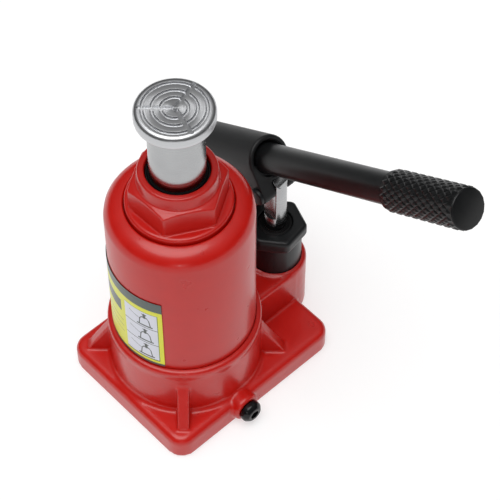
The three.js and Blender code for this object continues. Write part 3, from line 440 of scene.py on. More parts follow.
# %% Plate and webs
base_low, base_high = box_mm("base_casting")
PLATE_X = -base_low.x
PLATE_FRONT = base_low.y
PLATE_BACK = 67.6
PLATE_TOP = 15
COLLAR_R = 41.2
COLLAR_TOP = 51


def base_plate():
    """A cube with its upright edges rounded wide and its upper edges rounded less."""
    middle = Vector((0, (PLATE_FRONT + PLATE_BACK) / 2, PLATE_TOP / 2))
    size = Vector((2 * PLATE_X, PLATE_BACK - PLATE_FRONT, PLATE_TOP))
    bpy.ops.object.select_all(action="DESELECT")
    bpy.ops.mesh.primitive_cube_add(size=1, location=middle * MM, scale=size * MM)
    obj = bpy.context.active_object
    bpy.ops.object.transform_apply(location=True, rotation=True, scale=True)
    rules = ((9, lambda a, b: abs(a.z - b.z) > 5), (4, lambda a, b: min(a.z, b.z) > PLATE_TOP - 0.1))
    for radius, rule in rules:
        select_edges(obj, rule)
        bpy.ops.mesh.bevel(offset=radius * MM, segments=6, affect="EDGES")
        bpy.ops.object.mode_set(mode="OBJECT")
    return obj


def web(azimuth):
    """A sloping brace from the collar out towards a corner of the plate."""
    corners = [(COLLAR_R - 5, PLATE_TOP - 4), (54, PLATE_TOP - 4), (54, PLATE_TOP), (COLLAR_R - 0.6, 38.5),
               (COLLAR_R - 5, 38.5)]
    return placed(plate("web", corners, -3.1, 3.1), turn=(0, 0, math.radians(azimuth)))


# %% Collar, bosses and lugs
BOSS_R = 17.4
LUG_R = 7.4
LUG_INNER, LUG_OUTER = 4.3, 9.3  # the lugs' faces, from the pump's axis
screw_low, screw_high = box_mm("release_screw")
VALVE_Z = (screw_high.z + screw_low.z) / 2


def collar():
    profile = [(0, 1), (44, 1), (44, PLATE_TOP - 1), (COLLAR_R + 2.4, PLATE_TOP - 0.2),
               (COLLAR_R - 0.4, PLATE_TOP + 0.6, 3.6), (COLLAR_R - 0.5, COLLAR_TOP - 7),
               (COLLAR_R, COLLAR_TOP - 3.4), (COLLAR_R, COLLAR_TOP, 2.2), (0, COLLAR_TOP)]
    return turned("collar", profile, steps=160)


def pump_boss():
    top = 41
    profile = [(0, 0), (BOSS_R - 1.4, 0), (BOSS_R, 1.5), (BOSS_R, top, 2.4), (0, top)]
    return placed(turned("pump_boss", profile, steps=96), (0, PUMP_Y, 0))


def bridge():
    """Solid iron between the collar and the boss, for the oil galleries."""
    corners = [(-17.7, 2), (17.7, 2), (17.7, 40, 2.5), (-17.7, 40, 2.5)]
    return plate("bridge", corners, 22, PUMP_Y)


def lugs():
    """Two ears that hold the link's lower pin, on a common foot."""
    left, right = FULCRUM_X - LUG_R, FULCRUM_X + LUG_R
    ear = [(left, 1), (left, base_high.z, 7.3), (right, base_high.z, 7.3), (-15.4, 38), (-11.4, 1)]
    foot = [(left, 1), (left, 41.4), (-14.4, 41.4), (-11.4, 1)]
    return [
        plate("lug", ear, PUMP_Y - LUG_OUTER, PUMP_Y - LUG_INNER),
        plate("lug", ear, PUMP_Y + LUG_INNER, PUMP_Y + LUG_OUTER),
        plate("lug_foot", foot, PUMP_Y - LUG_OUTER, PUMP_Y + LUG_OUTER),
    ]


def valve_boss():
    profile = [(0, 36), (8.2, 36), (8.2, base_high.x, 1.6), (0, base_high.x)]
    return placed(turned("valve_boss", profile), (0, 0, VALVE_Z), LYING_X)


# %% The casting, melted and bored
TANK_BORE_R, TANK_SEAT = 38.3, 16
BARREL_BORE_R, BARREL_SEAT = 14.9, 34
SPIGOT_BORE_R = 10.9
VALVE_BORE_R = 5.9
CLEARANCE = 0.3


def bore(radius, low, high, steps=96):
    return turned("bore", [(0, low), (radius, low), (radius, high), (0, high)], steps)


webs = [web(azimuth) for azimuth in (-43.6, 46.7, 133.3, -134.7)]
casting = melted(
    "cast_base", [base_plate(), collar(), pump_boss(), bridge(), valve_boss(), *lugs(), *webs], 0.72, 5)
cylinder_low, cylinder_high = box_mm("hydraulic_cylinder")
suction_low, suction_high = box_mm("suction_ball")
cut(
    casting,
    bore(TANK_BORE_R, TANK_SEAT, COLLAR_TOP + 9, 128),
    bore(cylinder_high.x + CLEARANCE, cylinder_low.z - CLEARANCE, TANK_SEAT + 4),
    placed(bore(BARREL_BORE_R, BARREL_SEAT, 50), (0, PUMP_Y, 0)),
    placed(bore(SPIGOT_BORE_R, barrel_low.z - CLEARANCE, BARREL_SEAT + 6), (0, PUMP_Y, 0)),
    placed(bore(suction_high.x + 0.8, suction_low.z - 0.4, barrel_low.z + 1), (0, PUMP_Y, 0)),
    placed(bore(VALVE_BORE_R, 40, 55, 48), (0, 0, VALVE_Z), LYING_X),
)
creased(casting, 40)
finished(casting, "jack_body", "red_enamel", CAST_ENAMEL, "base_casting")

# %% [markdown]
# ## Tank
# The tank is a deep-drawn steel can: its side is plain and its shoulder rolls over to a seat for the nut.
# A half section is spun in many steps, because every facet would show in the gloss.

# %% Reservoir tank
tank_low, tank_high = box_mm("reservoir_tank")
TANK_R = tank_high.x
tank = turned("drawn_tank", [
    (TANK_R - 3, tank_low.z), (TANK_R, tank_low.z), (TANK_R, tank_high.z, 9.5),
    (27.7, tank_high.z, 1.2), (27.7, 141), (21.2, 141), (21.2, 138), (TANK_R - 3, 138, 5)],
    steps=160)
finished(tank, "jack_body", "red_enamel", SHEET_ENAMEL, "reservoir_tank")

# %% [markdown]
# ## Top nut
# The nut clamps the tank and carries the ram's wiper. It is turned from hexagon bar: a round flange below,
# a raised lip above, and the hexagon's corners turned down by a cone. Thick paint rounds every edge.


# %% Top nut
def hexagon_bar(corner_radius, turn, low, high, corner=0.8):
    """Hexagon bar between two heights, with its upright edges rounded."""
    bpy.ops.object.select_all(action="DESELECT")
    bpy.ops.mesh.primitive_cylinder_add(
        vertices=6, radius=corner_radius * MM, depth=(high - low) * MM,
        location=(0, 0, (low + high) / 2 * MM), rotation=(0, 0, math.radians(turn - 90)))
    obj = bpy.context.active_object
    bpy.ops.object.transform_apply(location=True, rotation=True, scale=True)
    bpy.ops.object.mode_set(mode="EDIT")
    bpy.ops.mesh.select_all(action="SELECT")
    bpy.ops.mesh.select_mode(type="EDGE")
    bpy.ops.mesh.bevel(offset=corner * MM, segments=3, affect="EDGES")
    bpy.ops.object.mode_set(mode="OBJECT")
    return obj


def crowned(bar, corner_radius, low, high, crown):
    """Turn the bar's upper corners down by a cone, as a lathe does."""
    flat = corner_radius * math.cos(math.radians(30))
    slope = crown / (corner_radius - flat)
    cone = turned("crown", [
        (0, low - 1), (corner_radius + 2, low - 1),
        (corner_radius + 2, high - slope * (corner_radius + 2 - flat)), (flat, high), (0, high)], 96)
    apply_modifier(bar, "BOOLEAN", operation="INTERSECT", solver="EXACT", object=cone)
    bpy.data.objects.remove(cone)
    return bar


nut_low, nut_high = box_mm("top_nut")
HEX_LOW, HEX_HIGH = 148.6, 163
HEX_CORNER_R = 25.6
WIPER_SEAT = 163.6
nut_round = turned("nut_round", [
    (20.3, nut_low.z), (27.3, nut_low.z), (27.3, HEX_LOW, 1.6), (22, HEX_LOW), (22, HEX_HIGH),
    (20.6, HEX_HIGH + 0.4), (20.3, HEX_HIGH + 2.2), (19.9, nut_high.z, 1.3), (16.2, nut_high.z, 0.8),
    (16.2, WIPER_SEAT), (14.3, WIPER_SEAT), (14.3, 155), (20.3, 155)], 128)
nut_hex = crowned(
    hexagon_bar(HEX_CORNER_R, 2, HEX_LOW - 1, HEX_HIGH), HEX_CORNER_R, HEX_LOW - 1, HEX_HIGH, 1.8)
cut(nut_hex, bore(21, HEX_LOW - 3, HEX_HIGH + 3))
nut = melted("top_nut_painted", [nut_round, nut_hex], 0.42, 5)
finished(nut, "jack_body", "red_enamel", SHEET_ENAMEL, "top_nut")

wiper = turned("ram_wiper_lip", [
    (14.12, 163.9), (15.9, 163.9), (15.9, 168, 0.4), (15.2, 168), (14.9, 166.8), (14.5, 169),
    (14.12, 168.8)], 96)
finished(wiper, "jack_body", "rubber", RUBBER, "ram_wiper")

# %% [markdown]
# ## Ram and saddle
# The ram is a ground bar with a broken edge. The saddle on the extension screw is turned: three round
# grooves are part of its section, and three straight grooves are then cut with an end mill, so that each
# ends in a half round just inside the rim. The rim itself is worn round.

# %% Ram
ram_low, ram_high = box_mm("ram")
RAM_R = 14
ram = turned("chromed_ram", [
    (0, ram_low.z), (9.6, ram_low.z, 0.6), (9.6, 62), (16, 62, 0.5), (16, 69, 0.5), (RAM_R, 70.5),
    (RAM_R, ram_high.z, 0.9), (9.62, ram_high.z), (9.62, ram_high.z - 8), (11.2, ram_high.z - 8),
    (11.2, 135.2), (0, 131.2)], 96)
finished(ram, "ram", "hard_chrome", RAM_CHROME, "ram")

# %% Saddle
saddle_low, saddle_high = box_mm("saddle_screw")
SADDLE_R = saddle_high.x
TOP = saddle_high.z
GROOVE_DEPTH = 1.3


def round_groove(middle):
    """Section of a round groove, from its outer lip to its inner lip."""
    low = TOP - GROOVE_DEPTH
    return [(middle + 0.85, TOP, 0.12), (middle + 0.55, low, 0.25), (middle - 0.55, low, 0.25),
            (middle - 0.85, TOP, 0.12)]


saddle = turned("grooved_saddle", [
    (0, saddle_low.z), (8.9, saddle_low.z), (8.9, 141.6), (7.5, 141.6), (7.5, 143.4), (9.5, 143.4),
    (9.5, 207.5), (SADDLE_R - 3.6, 207.5, 0.6), (SADDLE_R, TOP - 6.4, 0.5), (SADDLE_R, TOP, 2.6),
    *round_groove(15.4), *round_groove(10.8), *round_groove(6.4), (0, TOP)], 160, smooth=28)


def end_milled_groove(azimuth):
    """Cutter for a straight groove with a round outer end, a little deeper than the round grooves."""
    half, end = 1.15, SADDLE_R - 1.8
    outline = [(0.6, -half), (end, -half, half - 0.01), (end, half, half - 0.01), (0.6, half)]
    bar = plate("cutter", outline, TOP - GROOVE_DEPTH - 0.2, TOP + 1)
    placed(bar, turn=(math.radians(90), 0, 0))
    return placed(bar, turn=(0, 0, math.radians(azimuth)))


cut(saddle, *[end_milled_groove(azimuth) for azimuth in (-14, 106, 226)])
creased(saddle, 28)
finished(saddle, "saddle", "turned_steel", SADDLE_STEEL, "saddle_screw")

# %% [markdown]
# ## Pump
# The barrel screws into the boss by its hexagon. It is blackened, with a rounded crown. The plunger is a
# ground bar: two flats are milled on its upper end, so that it fits between the socket's cheeks.

# %% Barrel
HEX_FOOT, BARREL_TOP = 60, barrel_high.z
barrel_round = turned("barrel_round", [
    (2, barrel_low.z), (10.6, barrel_low.z, 0.8), (10.6, 35.9), (14.6, 35.9), (14.6, HEX_FOOT + 2),
    (12.4, HEX_FOOT + 2), (12.4, BARREL_TOP), (9.4, BARREL_TOP, 0.4), (9.4, 63), (6.12, 63), (6.12, 20.6),
    (2, 20.6)], 96)
barrel_hex = crowned(
    hexagon_bar(17.8, 40, HEX_FOOT, BARREL_TOP, corner=2.2), 17.8, HEX_FOOT, BARREL_TOP, 1.6)
cut(barrel_hex, bore(12, HEX_FOOT - 3, BARREL_TOP + 3))
barrel = placed(melted("pump_barrel_blackened", [barrel_round, barrel_hex], 0.4, 4), (0, PUMP_Y, 0))
finished(barrel, "jack_body", "black_oxide", BLACK_OXIDE, "pump_barrel")

# %% Plunger
plunger_low, plunger_high = box_mm("pump_plunger")
PIN_Z = plunger_high.z - 6
plunger = turned("ground_plunger", [
    (0, plunger_low.z), (6, plunger_low.z, 0.6), (6, 46.6), (4.3, 46.6), (4.3, 49.4), (6, 49.4),
    (6, plunger_high.z, 0.6), (0, plunger_high.z)], 64)
flats = [plate("flat", [(-9, 78, 0.8), (9, 78, 0.8), (9, 112), (-9, 112)], low, low + 6) for low in (-10, 4)]
crown = plate("crown", [
    (-9, 30), (9, 30), (6, PIN_Z), (6, PIN_Z + 6, 5.9), (-6, PIN_Z + 6, 5.9), (-6, PIN_Z)], -9, 9)
pin_hole = placed(bore(3.12, -12, 12, 32), (0, 0, PIN_Z), LYING_Y)
apply_modifier(plunger, "BOOLEAN", operation="INTERSECT", solver="EXACT", object=crown)
bpy.data.objects.remove(crown)
cut(plunger, *flats, pin_hole)
apply_modifier(
    plunger, "BEVEL", width=0.25 * MM, segments=2, limit_method="ANGLE", angle_limit=math.radians(50))
creased(plunger, 35)
placed(plunger, (0, PUMP_Y, 0))
finished(plunger, "plunger", "hard_chrome", PLUNGER_CHROME, "pump_plunger")

# %% [markdown]
# ## Handle socket
# A forged tube with two cheeks below it. It is drawn level, with the tube along +X, then leaned to the
# handle's angle about the bar's rear end. The cheeks are plates that the remesh melts into the tube.

# %% Socket
SOCKET_R = 12.5
SOCKET_BORE_R = 8.5
MOUTH_R, MOUTH_DEPTH = 9.9, 1.6  # the bore's wider mouth
SLOT_HALF = 4.3  # half the slot between the cheeks
CHEEK_NEAR, CHEEK_FAR = -12.5, 8.6  # the cheeks' outer faces
BACK, FRONT = -12.7, 50.2  # the tube's ends, from the bar's rear end
CHEEK_FOOT = -21.5
PIN_X = 56 - 10.23  # the plunger's pin, along the bar from its rear end
LINK_X = PIN_X - 28


def lean(obj):
    """Lean a piece drawn along +X to the handle's angle, about the bar's rear end."""
    return placed(obj, ROD_BACK, (0, HANDLE_LEAN - math.radians(90), 0))


tube = placed(turned("socket_tube", [
    (0, BACK), (SOCKET_R, BACK, 2.6), (SOCKET_R, FRONT, 1.2), (MOUTH_R, FRONT, 0.5),
    (MOUTH_R, FRONT - MOUTH_DEPTH), (SOCKET_BORE_R, FRONT - 3), (SOCKET_BORE_R, 0), (0, 0)], 96),
    turn=LYING_X)
cheek = [(LINK_X - 12, 0), (LINK_X - 8, CHEEK_FOOT + 4), (LINK_X - 8, CHEEK_FOOT, 5),
         (FRONT, CHEEK_FOOT, 3.2), (FRONT, 0)]
saddle_block = [(LINK_X - 12, -2), (LINK_X - 10, -9), (FRONT, -9), (FRONT, -2)]
socket = melted("forged_socket", [
    tube,
    plate("cheek", cheek, CHEEK_NEAR, -SLOT_HALF),
    plate("cheek", cheek, SLOT_HALF, CHEEK_FAR),
    plate("saddle_block", saddle_block, -CHEEK_FAR, CHEEK_FAR),
], 0.45, 5)
cut(socket,
    placed(bore(SOCKET_BORE_R, 0, FRONT - 1, 64), turn=LYING_X),
    placed(bore(MOUTH_R, FRONT - MOUTH_DEPTH, FRONT + 2, 64), turn=LYING_X))
creased(socket, 40)
lean(socket)
finished(socket, "socket", "black_paint", SOCKET_PAINT, "handle_socket")

# %% [markdown]
# ## Pins
# Each pin has a domed head on one side and a groove for its clip on the other. One pin is turned, then
# copied with its own mesh for the other hinge of the socket.


# %% Pins
def headed_pin(name, radius, front, back):
    """A pin along +Y: its head at -front, its groove just past +back."""
    return placed(turned(name, [
        (0, -front - 2.2), (radius + 1.8, -front - 2.2, 0.9), (radius + 1.8, -front - 0.3),
        (radius, -front - 0.3), (radius, back + 0.3), (radius - 0.6, back + 0.3),
        (radius - 0.6, back + 1.7), (radius, back + 1.7), (radius, back + 2.7, 0.5), (0, back + 2.7)], 40),
        turn=LYING_Y)


def middle(node):
    low, high = box_mm(node)
    return (low + high) / 2


plunger_pin = headed_pin("plunger_pin_turned", 3, 12.5, 8.6)
fulcrum_pin = plunger_pin.copy()
fulcrum_pin.data = plunger_pin.data.copy()
fulcrum_pin.name = "fulcrum_pin_turned"
bpy.context.collection.objects.link(fulcrum_pin)
foot_pin = headed_pin("link_foot_pin_turned", 4, 9.3, 9.3)
for pin, node, body in ((plunger_pin, "plunger_pin", "socket"), (fulcrum_pin, "fulcrum_pin", "socket"),
                        (foot_pin, "link_foot_pin", "jack_body")):
    at = middle(node)
    placed(pin, (at.x, PUMP_Y, at.z))
    finished(pin, body, "black_oxide", BLACK_OXIDE, node)

# %% Fulcrum link
LINK_FOOT_Z = middle("link_foot_pin").z
LINK_TOP_Z = middle("fulcrum_pin").z
LINK_HALF = 4  # half the link's thickness
LINK_FOOT_BORE_R = 4.12
LINK_TOP_BORE_R = 4.85  # wide, so that the pin can float in it
link = melted("forged_link", [
    placed(bore(6.9, -LINK_HALF, LINK_HALF, 64), (0, 0, LINK_FOOT_Z), LYING_Y),
    placed(bore(6.8, -LINK_HALF, LINK_HALF, 64), (0, 0, LINK_TOP_Z), LYING_Y),
    plate("link_web", [
        (-4.4, LINK_FOOT_Z), (4.4, LINK_FOOT_Z), (4.4, LINK_TOP_Z), (-4.4, LINK_TOP_Z)],
        -LINK_HALF, LINK_HALF),
], 0.45, 4)
cut(link,
    placed(bore(LINK_FOOT_BORE_R, -12, 12, 48), (0, 0, LINK_FOOT_Z), LYING_Y),
    placed(bore(LINK_TOP_BORE_R, -12, 12, 48), (0, 0, LINK_TOP_Z), LYING_Y))
creased(link, 40)
placed(link, (FULCRUM_X, PUMP_Y, 0))
finished(link, "link", "black_paint", SOCKET_PAINT, "fulcrum_link")

# %% [markdown]
# ## Handle
# The bar is plain. The grip is a sleeve with a coarse diamond knurl, rolled into the steel by two wheels.
# To model it, a tube's square faces are split by a poke and the square grid's own edges are dissolved, which
# leaves diamonds. Each diamond is then inset and raised, and a narrow bevel blunts its edges.

# %% Bar
bar = turned("painted_bar", [(0, 0), (ROD_R, 0, 1.2), (ROD_R, ROD_LENGTH), (0, ROD_LENGTH)], 64)
placed(bar, ROD_BACK, (0, HANDLE_LEAN, 0))
finished(bar, "handle", "black_paint", BAR_PAINT, "handle_rod")

# %% Knurled grip
GRIP_R = 10.7
GRIP_START, GRIP_END = 151, 203.5  # along the bar from its rear end
KNURLS_AROUND = 18
KNURLS_ALONG = 9
KNURL_DEPTH = 0.6
CAP = 0.8  # plain length left at each end of the knurl


def knurled_tube(radius, low, high):
    """A tube whose side is covered in raised diamonds."""
    bpy.ops.object.select_all(action="DESELECT")
    bpy.ops.mesh.primitive_cylinder_add(
        vertices=KNURLS_AROUND, radius=radius * MM, depth=(high - low) * MM,
        end_fill_type="NOTHING", location=(0, 0, (low + high) / 2 * MM))
    tube = bpy.context.active_object
    tube.name = "diamond_knurled_grip"
    bpy.ops.object.transform_apply(location=True, rotation=True, scale=True)
    bpy.ops.object.mode_set(mode="EDIT")
    bpy.ops.mesh.select_mode(type="VERT")
    for k in range(1, KNURLS_ALONG):
        bpy.ops.mesh.select_all(action="SELECT")
        height = low + (high - low) * k / KNURLS_ALONG
        bpy.ops.mesh.bisect(plane_co=(0, 0, height * MM), plane_no=(0, 0, 1))
    bpy.ops.mesh.select_all(action="SELECT")
    bpy.ops.mesh.poke()
    select_edges(tube, lambda a, b: on_grid(a, low, high) and on_grid(b, low, high)
                 and not (a.z == b.z and (abs(a.z - low) < 0.1 or abs(a.z - high) < 0.1)))
    bpy.ops.mesh.dissolve_edges(use_verts=False)
    bpy.ops.mesh.select_all(action="DESELECT")
    bpy.ops.mesh.select_mode(type="FACE")
    bpy.ops.object.mode_set(mode="OBJECT")
    for face in tube.data.polygons:
        face.select = len(face.vertices) == 4
    bpy.ops.object.mode_set(mode="EDIT")
    bpy.ops.mesh.inset(thickness=0.75 * MM, depth=KNURL_DEPTH * MM, use_individual=True)
    bpy.ops.object.mode_set(mode="OBJECT")
    return tube


def on_grid(vertex, low, high):
    """Whether a vertex lies on one of the knurl's rings, and not halfway between two."""
    row = (vertex.z - low) / (high - low) * KNURLS_ALONG
    return abs(row - round(row)) < 0.1


def end_ring(obj, height, rings):
    """Carry the open loop at this height on through (radius scale, move) rings, then fill it."""
    select_edges(obj, lambda a, b: abs(a.z - height) < 0.01 and abs(b.z - height) < 0.01)
    for scale, move in rings:
        bpy.ops.mesh.extrude_region_move(TRANSFORM_OT_translate={"value": (0, 0, move * MM)})
        bpy.ops.transform.resize(
            value=(scale, scale, 1), center_override=(0, 0, 0), constraint_axis=(True, True, False))
    bpy.ops.mesh.edge_face_add()
    bpy.ops.object.mode_set(mode="OBJECT")


VALLEY_R = GRIP_R - KNURL_DEPTH
grip = knurled_tube(VALLEY_R, GRIP_START + CAP, GRIP_END - CAP)
end_ring(grip, GRIP_START + CAP, [(1, -0.2), (0.9, -0.6)])
end_ring(grip, GRIP_END - CAP, [(1.02, 0.2), (0.96, 0.6)])
pick(grip)
bpy.ops.object.mode_set(mode="EDIT")
bpy.ops.mesh.select_all(action="SELECT")
bpy.ops.mesh.normals_make_consistent(inside=False)
bpy.ops.object.mode_set(mode="OBJECT")
cut(grip, bore(ROD_R + 0.15, GRIP_START - 2, GRIP_END - 3.6, 64))
apply_modifier(grip, "BEVEL", width=0.13 * MM, segments=2, limit_method="ANGLE", angle_limit=math.radians(20))
creased(grip, 24)
placed(grip, ROD_BACK, (0, HANDLE_LEAN, 0))
finished(grip, "handle", "knurled_black", KNURL_BLACK, "handle_grip")
print("grip", len(grip.data.polygons), "faces")

# %% [markdown]
# ## Release valve and filler plug
# The release screw is turned with a domed head, and its hexagon socket is broached. The filler plug is a
# moulded rubber bung with a flat head; it lies on the back of the tank.

# %% Release screw
HEAD_R = (screw_high.z - screw_low.z) / 2
HEAD_BACK = screw_high.x - 5
screw = turned("domed_release_screw", [
    (0, screw_low.x), (2.6, screw_low.x, 0.3), (3, 34), (4.3, 35.2), (4.3, 38), (HEAD_R - 2.6, 38),
    (HEAD_R - 2.6, HEAD_BACK), (HEAD_R, HEAD_BACK, 0.4), (HEAD_R, HEAD_BACK + 2.9, 1.9),
    (HEAD_R - 1.9, screw_high.x, 1.3), (0, screw_high.x)], 64)
cut(screw, hexagon_bar(2.9, 15, HEAD_BACK + 2, HEAD_BACK + 7, corner=0.3))
creased(screw, 35)
placed(screw, (0, 0, VALVE_Z), LYING_X)
finished(screw, "release", "black_oxide", GLOSS_BLACK, "release_screw")

# %% Filler plug
plug_low, plug_high = box_mm("filler_plug")
plug_at = (plug_low + plug_high) / 2
PLUG_AZIMUTH = math.atan2(plug_at.y, plug_at.x)
plug = turned("moulded_filler_plug", [
    (0, TANK_R - 6), (3, TANK_R - 6, 0.5), (4, TANK_R - 2.4, 0.3), (4, TANK_R + 0.6),
    (6.4, TANK_R + 0.6, 0.3), (6.4, TANK_R + 1.8, 0.4), (5, TANK_R + 2.8, 0.5), (0, TANK_R + 2.8)], 48)
placed(plug, turn=LYING_X)
placed(plug, (0, 0, plug_at.z), (0, 0, PLUG_AZIMUTH))
finished(plug, "jack_body", "rubber", RUBBER, "filler_plug")

# %% [markdown]
# ## Label
# A printed film is wrapped round the tank: a yellow field between two dark bands, with a white panel of
# three line drawings of a jack near its right edge. The original's lettering is left out: plain rules and
# bars stand in its place. The film is one upright edge spun round the tank. Its UV holds millimetres along
# and up, and the print is drawn in those millimetres.

# %% Label film
film_low, film_high = box_mm("label")
FILM_BOTTOM, FILM_TOP = film_low.z, film_high.z
FILM_R = TANK_R + 0.35
FILM_RIGHT, FILM_LEFT = -57, -150  # degrees round from +X
FILM_LENGTH = math.radians(FILM_RIGHT - FILM_LEFT) * FILM_R


def wrapped_film():
    """A thin film, spun round the tank from its right edge to its left one."""
    right = math.radians(FILM_RIGHT)
    section = [(FILM_R * math.cos(right), FILM_R * math.sin(right), z) for z in (FILM_BOTTOM, FILM_TOP)]
    film = chain("printed_label_film", section, closed=False)
    bpy.ops.mesh.select_all(action="SELECT")
    bpy.ops.mesh.spin(
        steps=90, angle=math.radians(FILM_RIGHT - FILM_LEFT), center=(0, 0, 0), axis=(0, 0, 1))
    bpy.ops.mesh.select_all(action="SELECT")
    bpy.ops.mesh.remove_doubles(threshold=2e-6)
    bpy.ops.mesh.normals_make_consistent(inside=False)
    bpy.ops.object.mode_set(mode="OBJECT")
    if sum(face.normal.dot(face.center) for face in film.data.polygons) < 0:
        bpy.ops.object.mode_set(mode="EDIT")
        bpy.ops.mesh.select_all(action="SELECT")
        bpy.ops.mesh.flip_normals()
        bpy.ops.object.mode_set(mode="OBJECT")
    uv = film.data.uv_layers.new(name="print_mm")
    for loop in film.data.loops:
        corner = film.data.vertices[loop.vertex_index].co
        along = (math.radians(FILM_RIGHT) - math.atan2(corner.y, corner.x)) * FILM_R
        uv.data[loop.index].uv = (along, corner.z / MM)
    apply_modifier(film, "SOLIDIFY", thickness=0.16 * MM, offset=1)
    creased(film, 30)
    return film


film = wrapped_film()
print("film", round(FILM_LENGTH, 1), "mm long,", len(film.data.polygons), "faces")

# %% Tools for drawing a print
def printed_place(tree):
    """The print's own plane: millimetres left of the film's right edge, and height."""
    print_uv = add(tree, "UVMap", uv_map="print_mm")
    split = add(tree, "SeparateXYZ", {"Vector": print_uv.outputs["UV"]})
    return split.outputs["X"], split.outputs["Y"]


def sum_of(tree, operation, first, second, third=0.0):
    return add(tree, "Math", {0: first, 1: second, 2: third}, operation=operation).outputs["Value"]


def block(tree, across, up, left, right, low, high):
    """One inside a rectangle, and nothing outside it."""
    inside_x = sum_of(tree, "COMPARE", across, (left + right) / 2, (right - left) / 2)
    inside_y = sum_of(tree, "COMPARE", up, (low + high) / 2, (high - low) / 2)
    return sum_of(tree, "MULTIPLY", inside_x, inside_y)


def stroke(tree, point, start, end, width):
    """One within half a width of a straight line."""
    start, end = Vector((*start, 0)), Vector((*end, 0))
    line = end - start
    reach = add(tree, "VectorMath", {0: point, 1: start}, operation="SUBTRACT").outputs["Vector"]
    along = add(tree, "VectorMath", {0: reach, 1: line / line.length_squared}, operation="DOT_PRODUCT")
    held = add(tree, "Clamp", {"Value": along.outputs["Value"]}).outputs["Result"]
    nearest = add(tree, "VectorMath", {0: line, "Scale": held}, operation="SCALE").outputs["Vector"]
    gap = add(tree, "VectorMath", {0: reach, 1: nearest}, operation="DISTANCE").outputs["Value"]
    return sum_of(tree, "LESS_THAN", gap, width / 2)


def ink(tree, below, mask, colour):
    """Lay a colour over what is below it, where the mask is one."""
    mix = add(tree, "Mix", {"Factor": mask}, data_type="RGBA")
    mix.inputs["B"].default_value = swatch(colour)
    if isinstance(below, str):
        mix.inputs["A"].default_value = swatch(below)
    else:
        tree.links.new(below, mix.inputs["A"])
    return mix.outputs["Result"]


# %% Label print
PANEL_LOW, PANEL_HIGH = 56.5, 97
PANEL_NEAR, PANEL_FAR = 2.8, 22.8
DRAWINGS = 3
ROW = (PANEL_HIGH - PANEL_LOW) / DRAWINGS
JACK_LINES = [  # a drawing's strokes: start, end and width, from its row's foot
    ((5.8, 2), (14.2, 2), 1.1), ((13.2, 2), (12.6, 7.4), 0.6), ((6.6, 2), (7.4, 7.4), 0.6),
    ((12.6, 7.4), (11.4, 8.9), 0.6), ((7.4, 7.4), (8.6, 8.9), 0.6), ((8.6, 8.9), (11.4, 8.9), 0.9),
    ((10, 8.9), (10, 11.4), 1.7), ((8.8, 11.5), (11.2, 11.5), 0.7), ((12.4, 6.6), (19.5, 9.6), 0.35)]


def label_film():
    material, tree, shader, place = finish(
        "printed_vinyl_under_gloss_film", Roughness=0.38, IOR=1.5, Coat_Weight=0.2, Coat_Roughness=0.12)
    across, up = printed_place(tree)
    noise, field = mottled(tree, place, 6, "DCDC0C", "E8E818")
    colour = ink(tree, field, block(tree, across, up, -1, 80, FILM_TOP - 7.4, FILM_TOP + 1), "3F4F4A")
    colour = ink(tree, colour, block(tree, across, up, -1, 80, FILM_BOTTOM - 1, FILM_BOTTOM + 1.8), "3F4F4A")
    colour = ink(tree, colour, block(tree, across, up, 26, 52, 84, 93.4), "45524D")
    for height in (66, 71, 76):
        colour = ink(tree, colour, block(tree, across, up, 25, 50, height, height + 0.5), "8A8A20")
    colour = ink(tree, colour, block(
        tree, across, up, PANEL_NEAR - 0.4, PANEL_FAR, PANEL_LOW - 0.3, PANEL_HIGH + 0.3), "5E7A18")
    panel = block(tree, across, up, PANEL_NEAR, PANEL_FAR, PANEL_LOW, PANEL_HIGH)
    colour = ink(tree, colour, panel, "DDDFEA")
    row_height = sum_of(tree, "MODULO", sum_of(tree, "SUBTRACT", up, PANEL_LOW), ROW)
    point = add(tree, "CombineXYZ", {"X": across, "Y": row_height}).outputs["Vector"]
    drawing = block(tree, across, row_height, PANEL_NEAR, PANEL_FAR, 0, 0.5)
    for start, end, width in JACK_LINES:
        drawing = sum_of(tree, "MAXIMUM", drawing, stroke(tree, point, start, end, width))
    colour = ink(tree, colour, sum_of(tree, "MULTIPLY", drawing, panel), "3C443F")
    tree.links.new(colour, shader.inputs["Base Color"])
    tree.links.new(spread(tree, noise.outputs["Fac"], 0.32, 0.44), shader.inputs["Roughness"])
    raised(tree, shader, noise.outputs["Fac"], 0.01)
    return material


finished(film, "jack_body", "label_film", label_film(), "label")

# %% [markdown]
# ## Pieces kept from the CAD
# Seals, washers, clips, balls and plugs are small and mostly out of sight, and their CAD shape is right. They
# keep it, and only take on the finish of their real material.

# %% Finishes of the kept pieces
FINISHES = {
    "red_enamel": CAST_ENAMEL, "rubber": RUBBER, "polyurethane": POLYURETHANE, "turned_steel": CYLINDER_STEEL,
    "copper": COPPER, "hard_chrome": RAM_CHROME, "spring_steel": SPRING_STEEL, "black_oxide": BLACK_OXIDE,
    "black_paint": BAR_PAINT, "knurled_black": KNURL_BLACK, "bearing_steel": BALL_STEEL}
kept = []
for part in frame["record"]["subparts"]:
    node = nodes[part["node"]]
    if node.hide_render or part["material_slot"] not in FINISHES:
        continue
    for place in node.material_slots:
        place.link = "OBJECT"
        place.material = FINISHES[part["material_slot"]]
    kept.append(part["node"])
print(len(kept), "CAD pieces kept:", ", ".join(kept))

# %% [markdown]
# ## Studio
# An opal table that glows faintly lights the jack from below, so the upright red faces mirror it and look
# paler than the level ones. A wide soft light stands almost overhead, a little to the
# front. A narrow low strip draws short glints along rounded edges. The room is dark at the horizon and
# brightens towards the zenith, which is what the saddle and the socket's back mirror.


# %% Floor and lights
def aimed(obj, target):
    """Turn a light or a camera so that it looks at a point, in millimetres."""
    away = Vector(target) * MM - obj.location
    obj.rotation_euler = away.to_track_quat("-Z", "Y").to_euler()


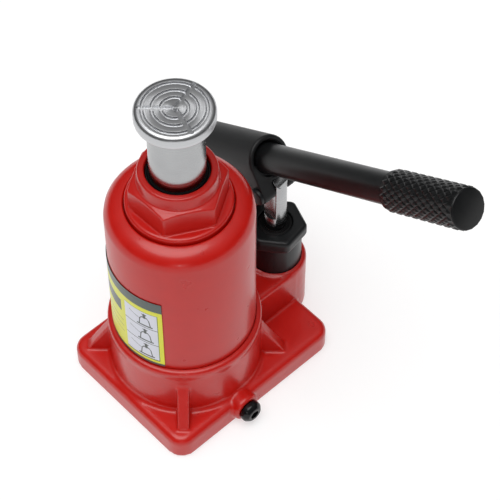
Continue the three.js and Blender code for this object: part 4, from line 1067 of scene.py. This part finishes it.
def soft_light(name, azimuth, elevation, distance, size, power):
    """A rectangular light, placed by its direction from the jack and its distance in metres."""
    flat = math.cos(math.radians(elevation)) * distance
    turn = math.radians(azimuth)
    place = (flat * math.cos(turn), flat * math.sin(turn), math.sin(math.radians(elevation)) * distance)
    bpy.ops.object.light_add(type="AREA", location=place)
    light = bpy.context.active_object
    light.name = name
    light.data.shape = "RECTANGLE"
    light.data.size, light.data.size_y = size
    light.data.energy = power
    aimed(light, (0, 0, 90))
    return light


bpy.ops.object.select_all(action="DESELECT")
bpy.ops.mesh.primitive_plane_add(size=6, location=(0, 0, -0.0002))
floor = bpy.context.active_object
floor.name = "studio_floor"
floor_paint, tree, shader, place = finish(
    "opal_acrylic_light_table", Roughness=0.9, IOR=1.3, Emission_Strength=0.57)
shader.inputs["Base Color"].default_value = swatch("B8B8B8")
shader.inputs["Emission Color"].default_value = (1, 1, 1, 1)
floor.data.materials.append(floor_paint)

world = bpy.data.worlds.new("dim_room")
world.use_nodes = True
sky = add(world.node_tree, "SeparateXYZ", {"Vector": add(world.node_tree, "TexCoord").outputs["Generated"]})
height = sum_of(world.node_tree, "POWER", sum_of(world.node_tree, "MAXIMUM", sky.outputs["Z"], 0), 2)
background = world.node_tree.nodes["Background"]
background.inputs["Color"].default_value = (1, 1, 1, 1)
world.node_tree.links.new(spread(world.node_tree, height, 0.03, 0.7), background.inputs["Strength"])
bpy.context.scene.world = world

bpy.ops.object.light_add(type="SUN", location=(0.06, -0.26, 1.5))
key = bpy.context.active_object
key.name = "wide_soft_key"
key.data.energy = 2.0
key.data.angle = math.radians(50)
aimed(key, (0, 0, 90))
soft_light("low_front_strip", -42, 16, 1.2, (0.3, 0.03), 0.6)

# %% Camera
CAMERA_AT = (0.43517, -0.35836, 0.87107)  # metres
CAMERA_TARGET = (8.084, 40.105, 75)
FOCAL_LENGTH, SENSOR_WIDTH = 134.4, 36
bpy.ops.object.camera_add(location=CAMERA_AT)
camera = bpy.context.active_object
camera.data.lens = FOCAL_LENGTH
camera.data.sensor_width = SENSOR_WIDTH
aimed(camera, CAMERA_TARGET)
bpy.context.scene.camera = camera
bpy.context.scene.view_settings.view_transform = "Standard"
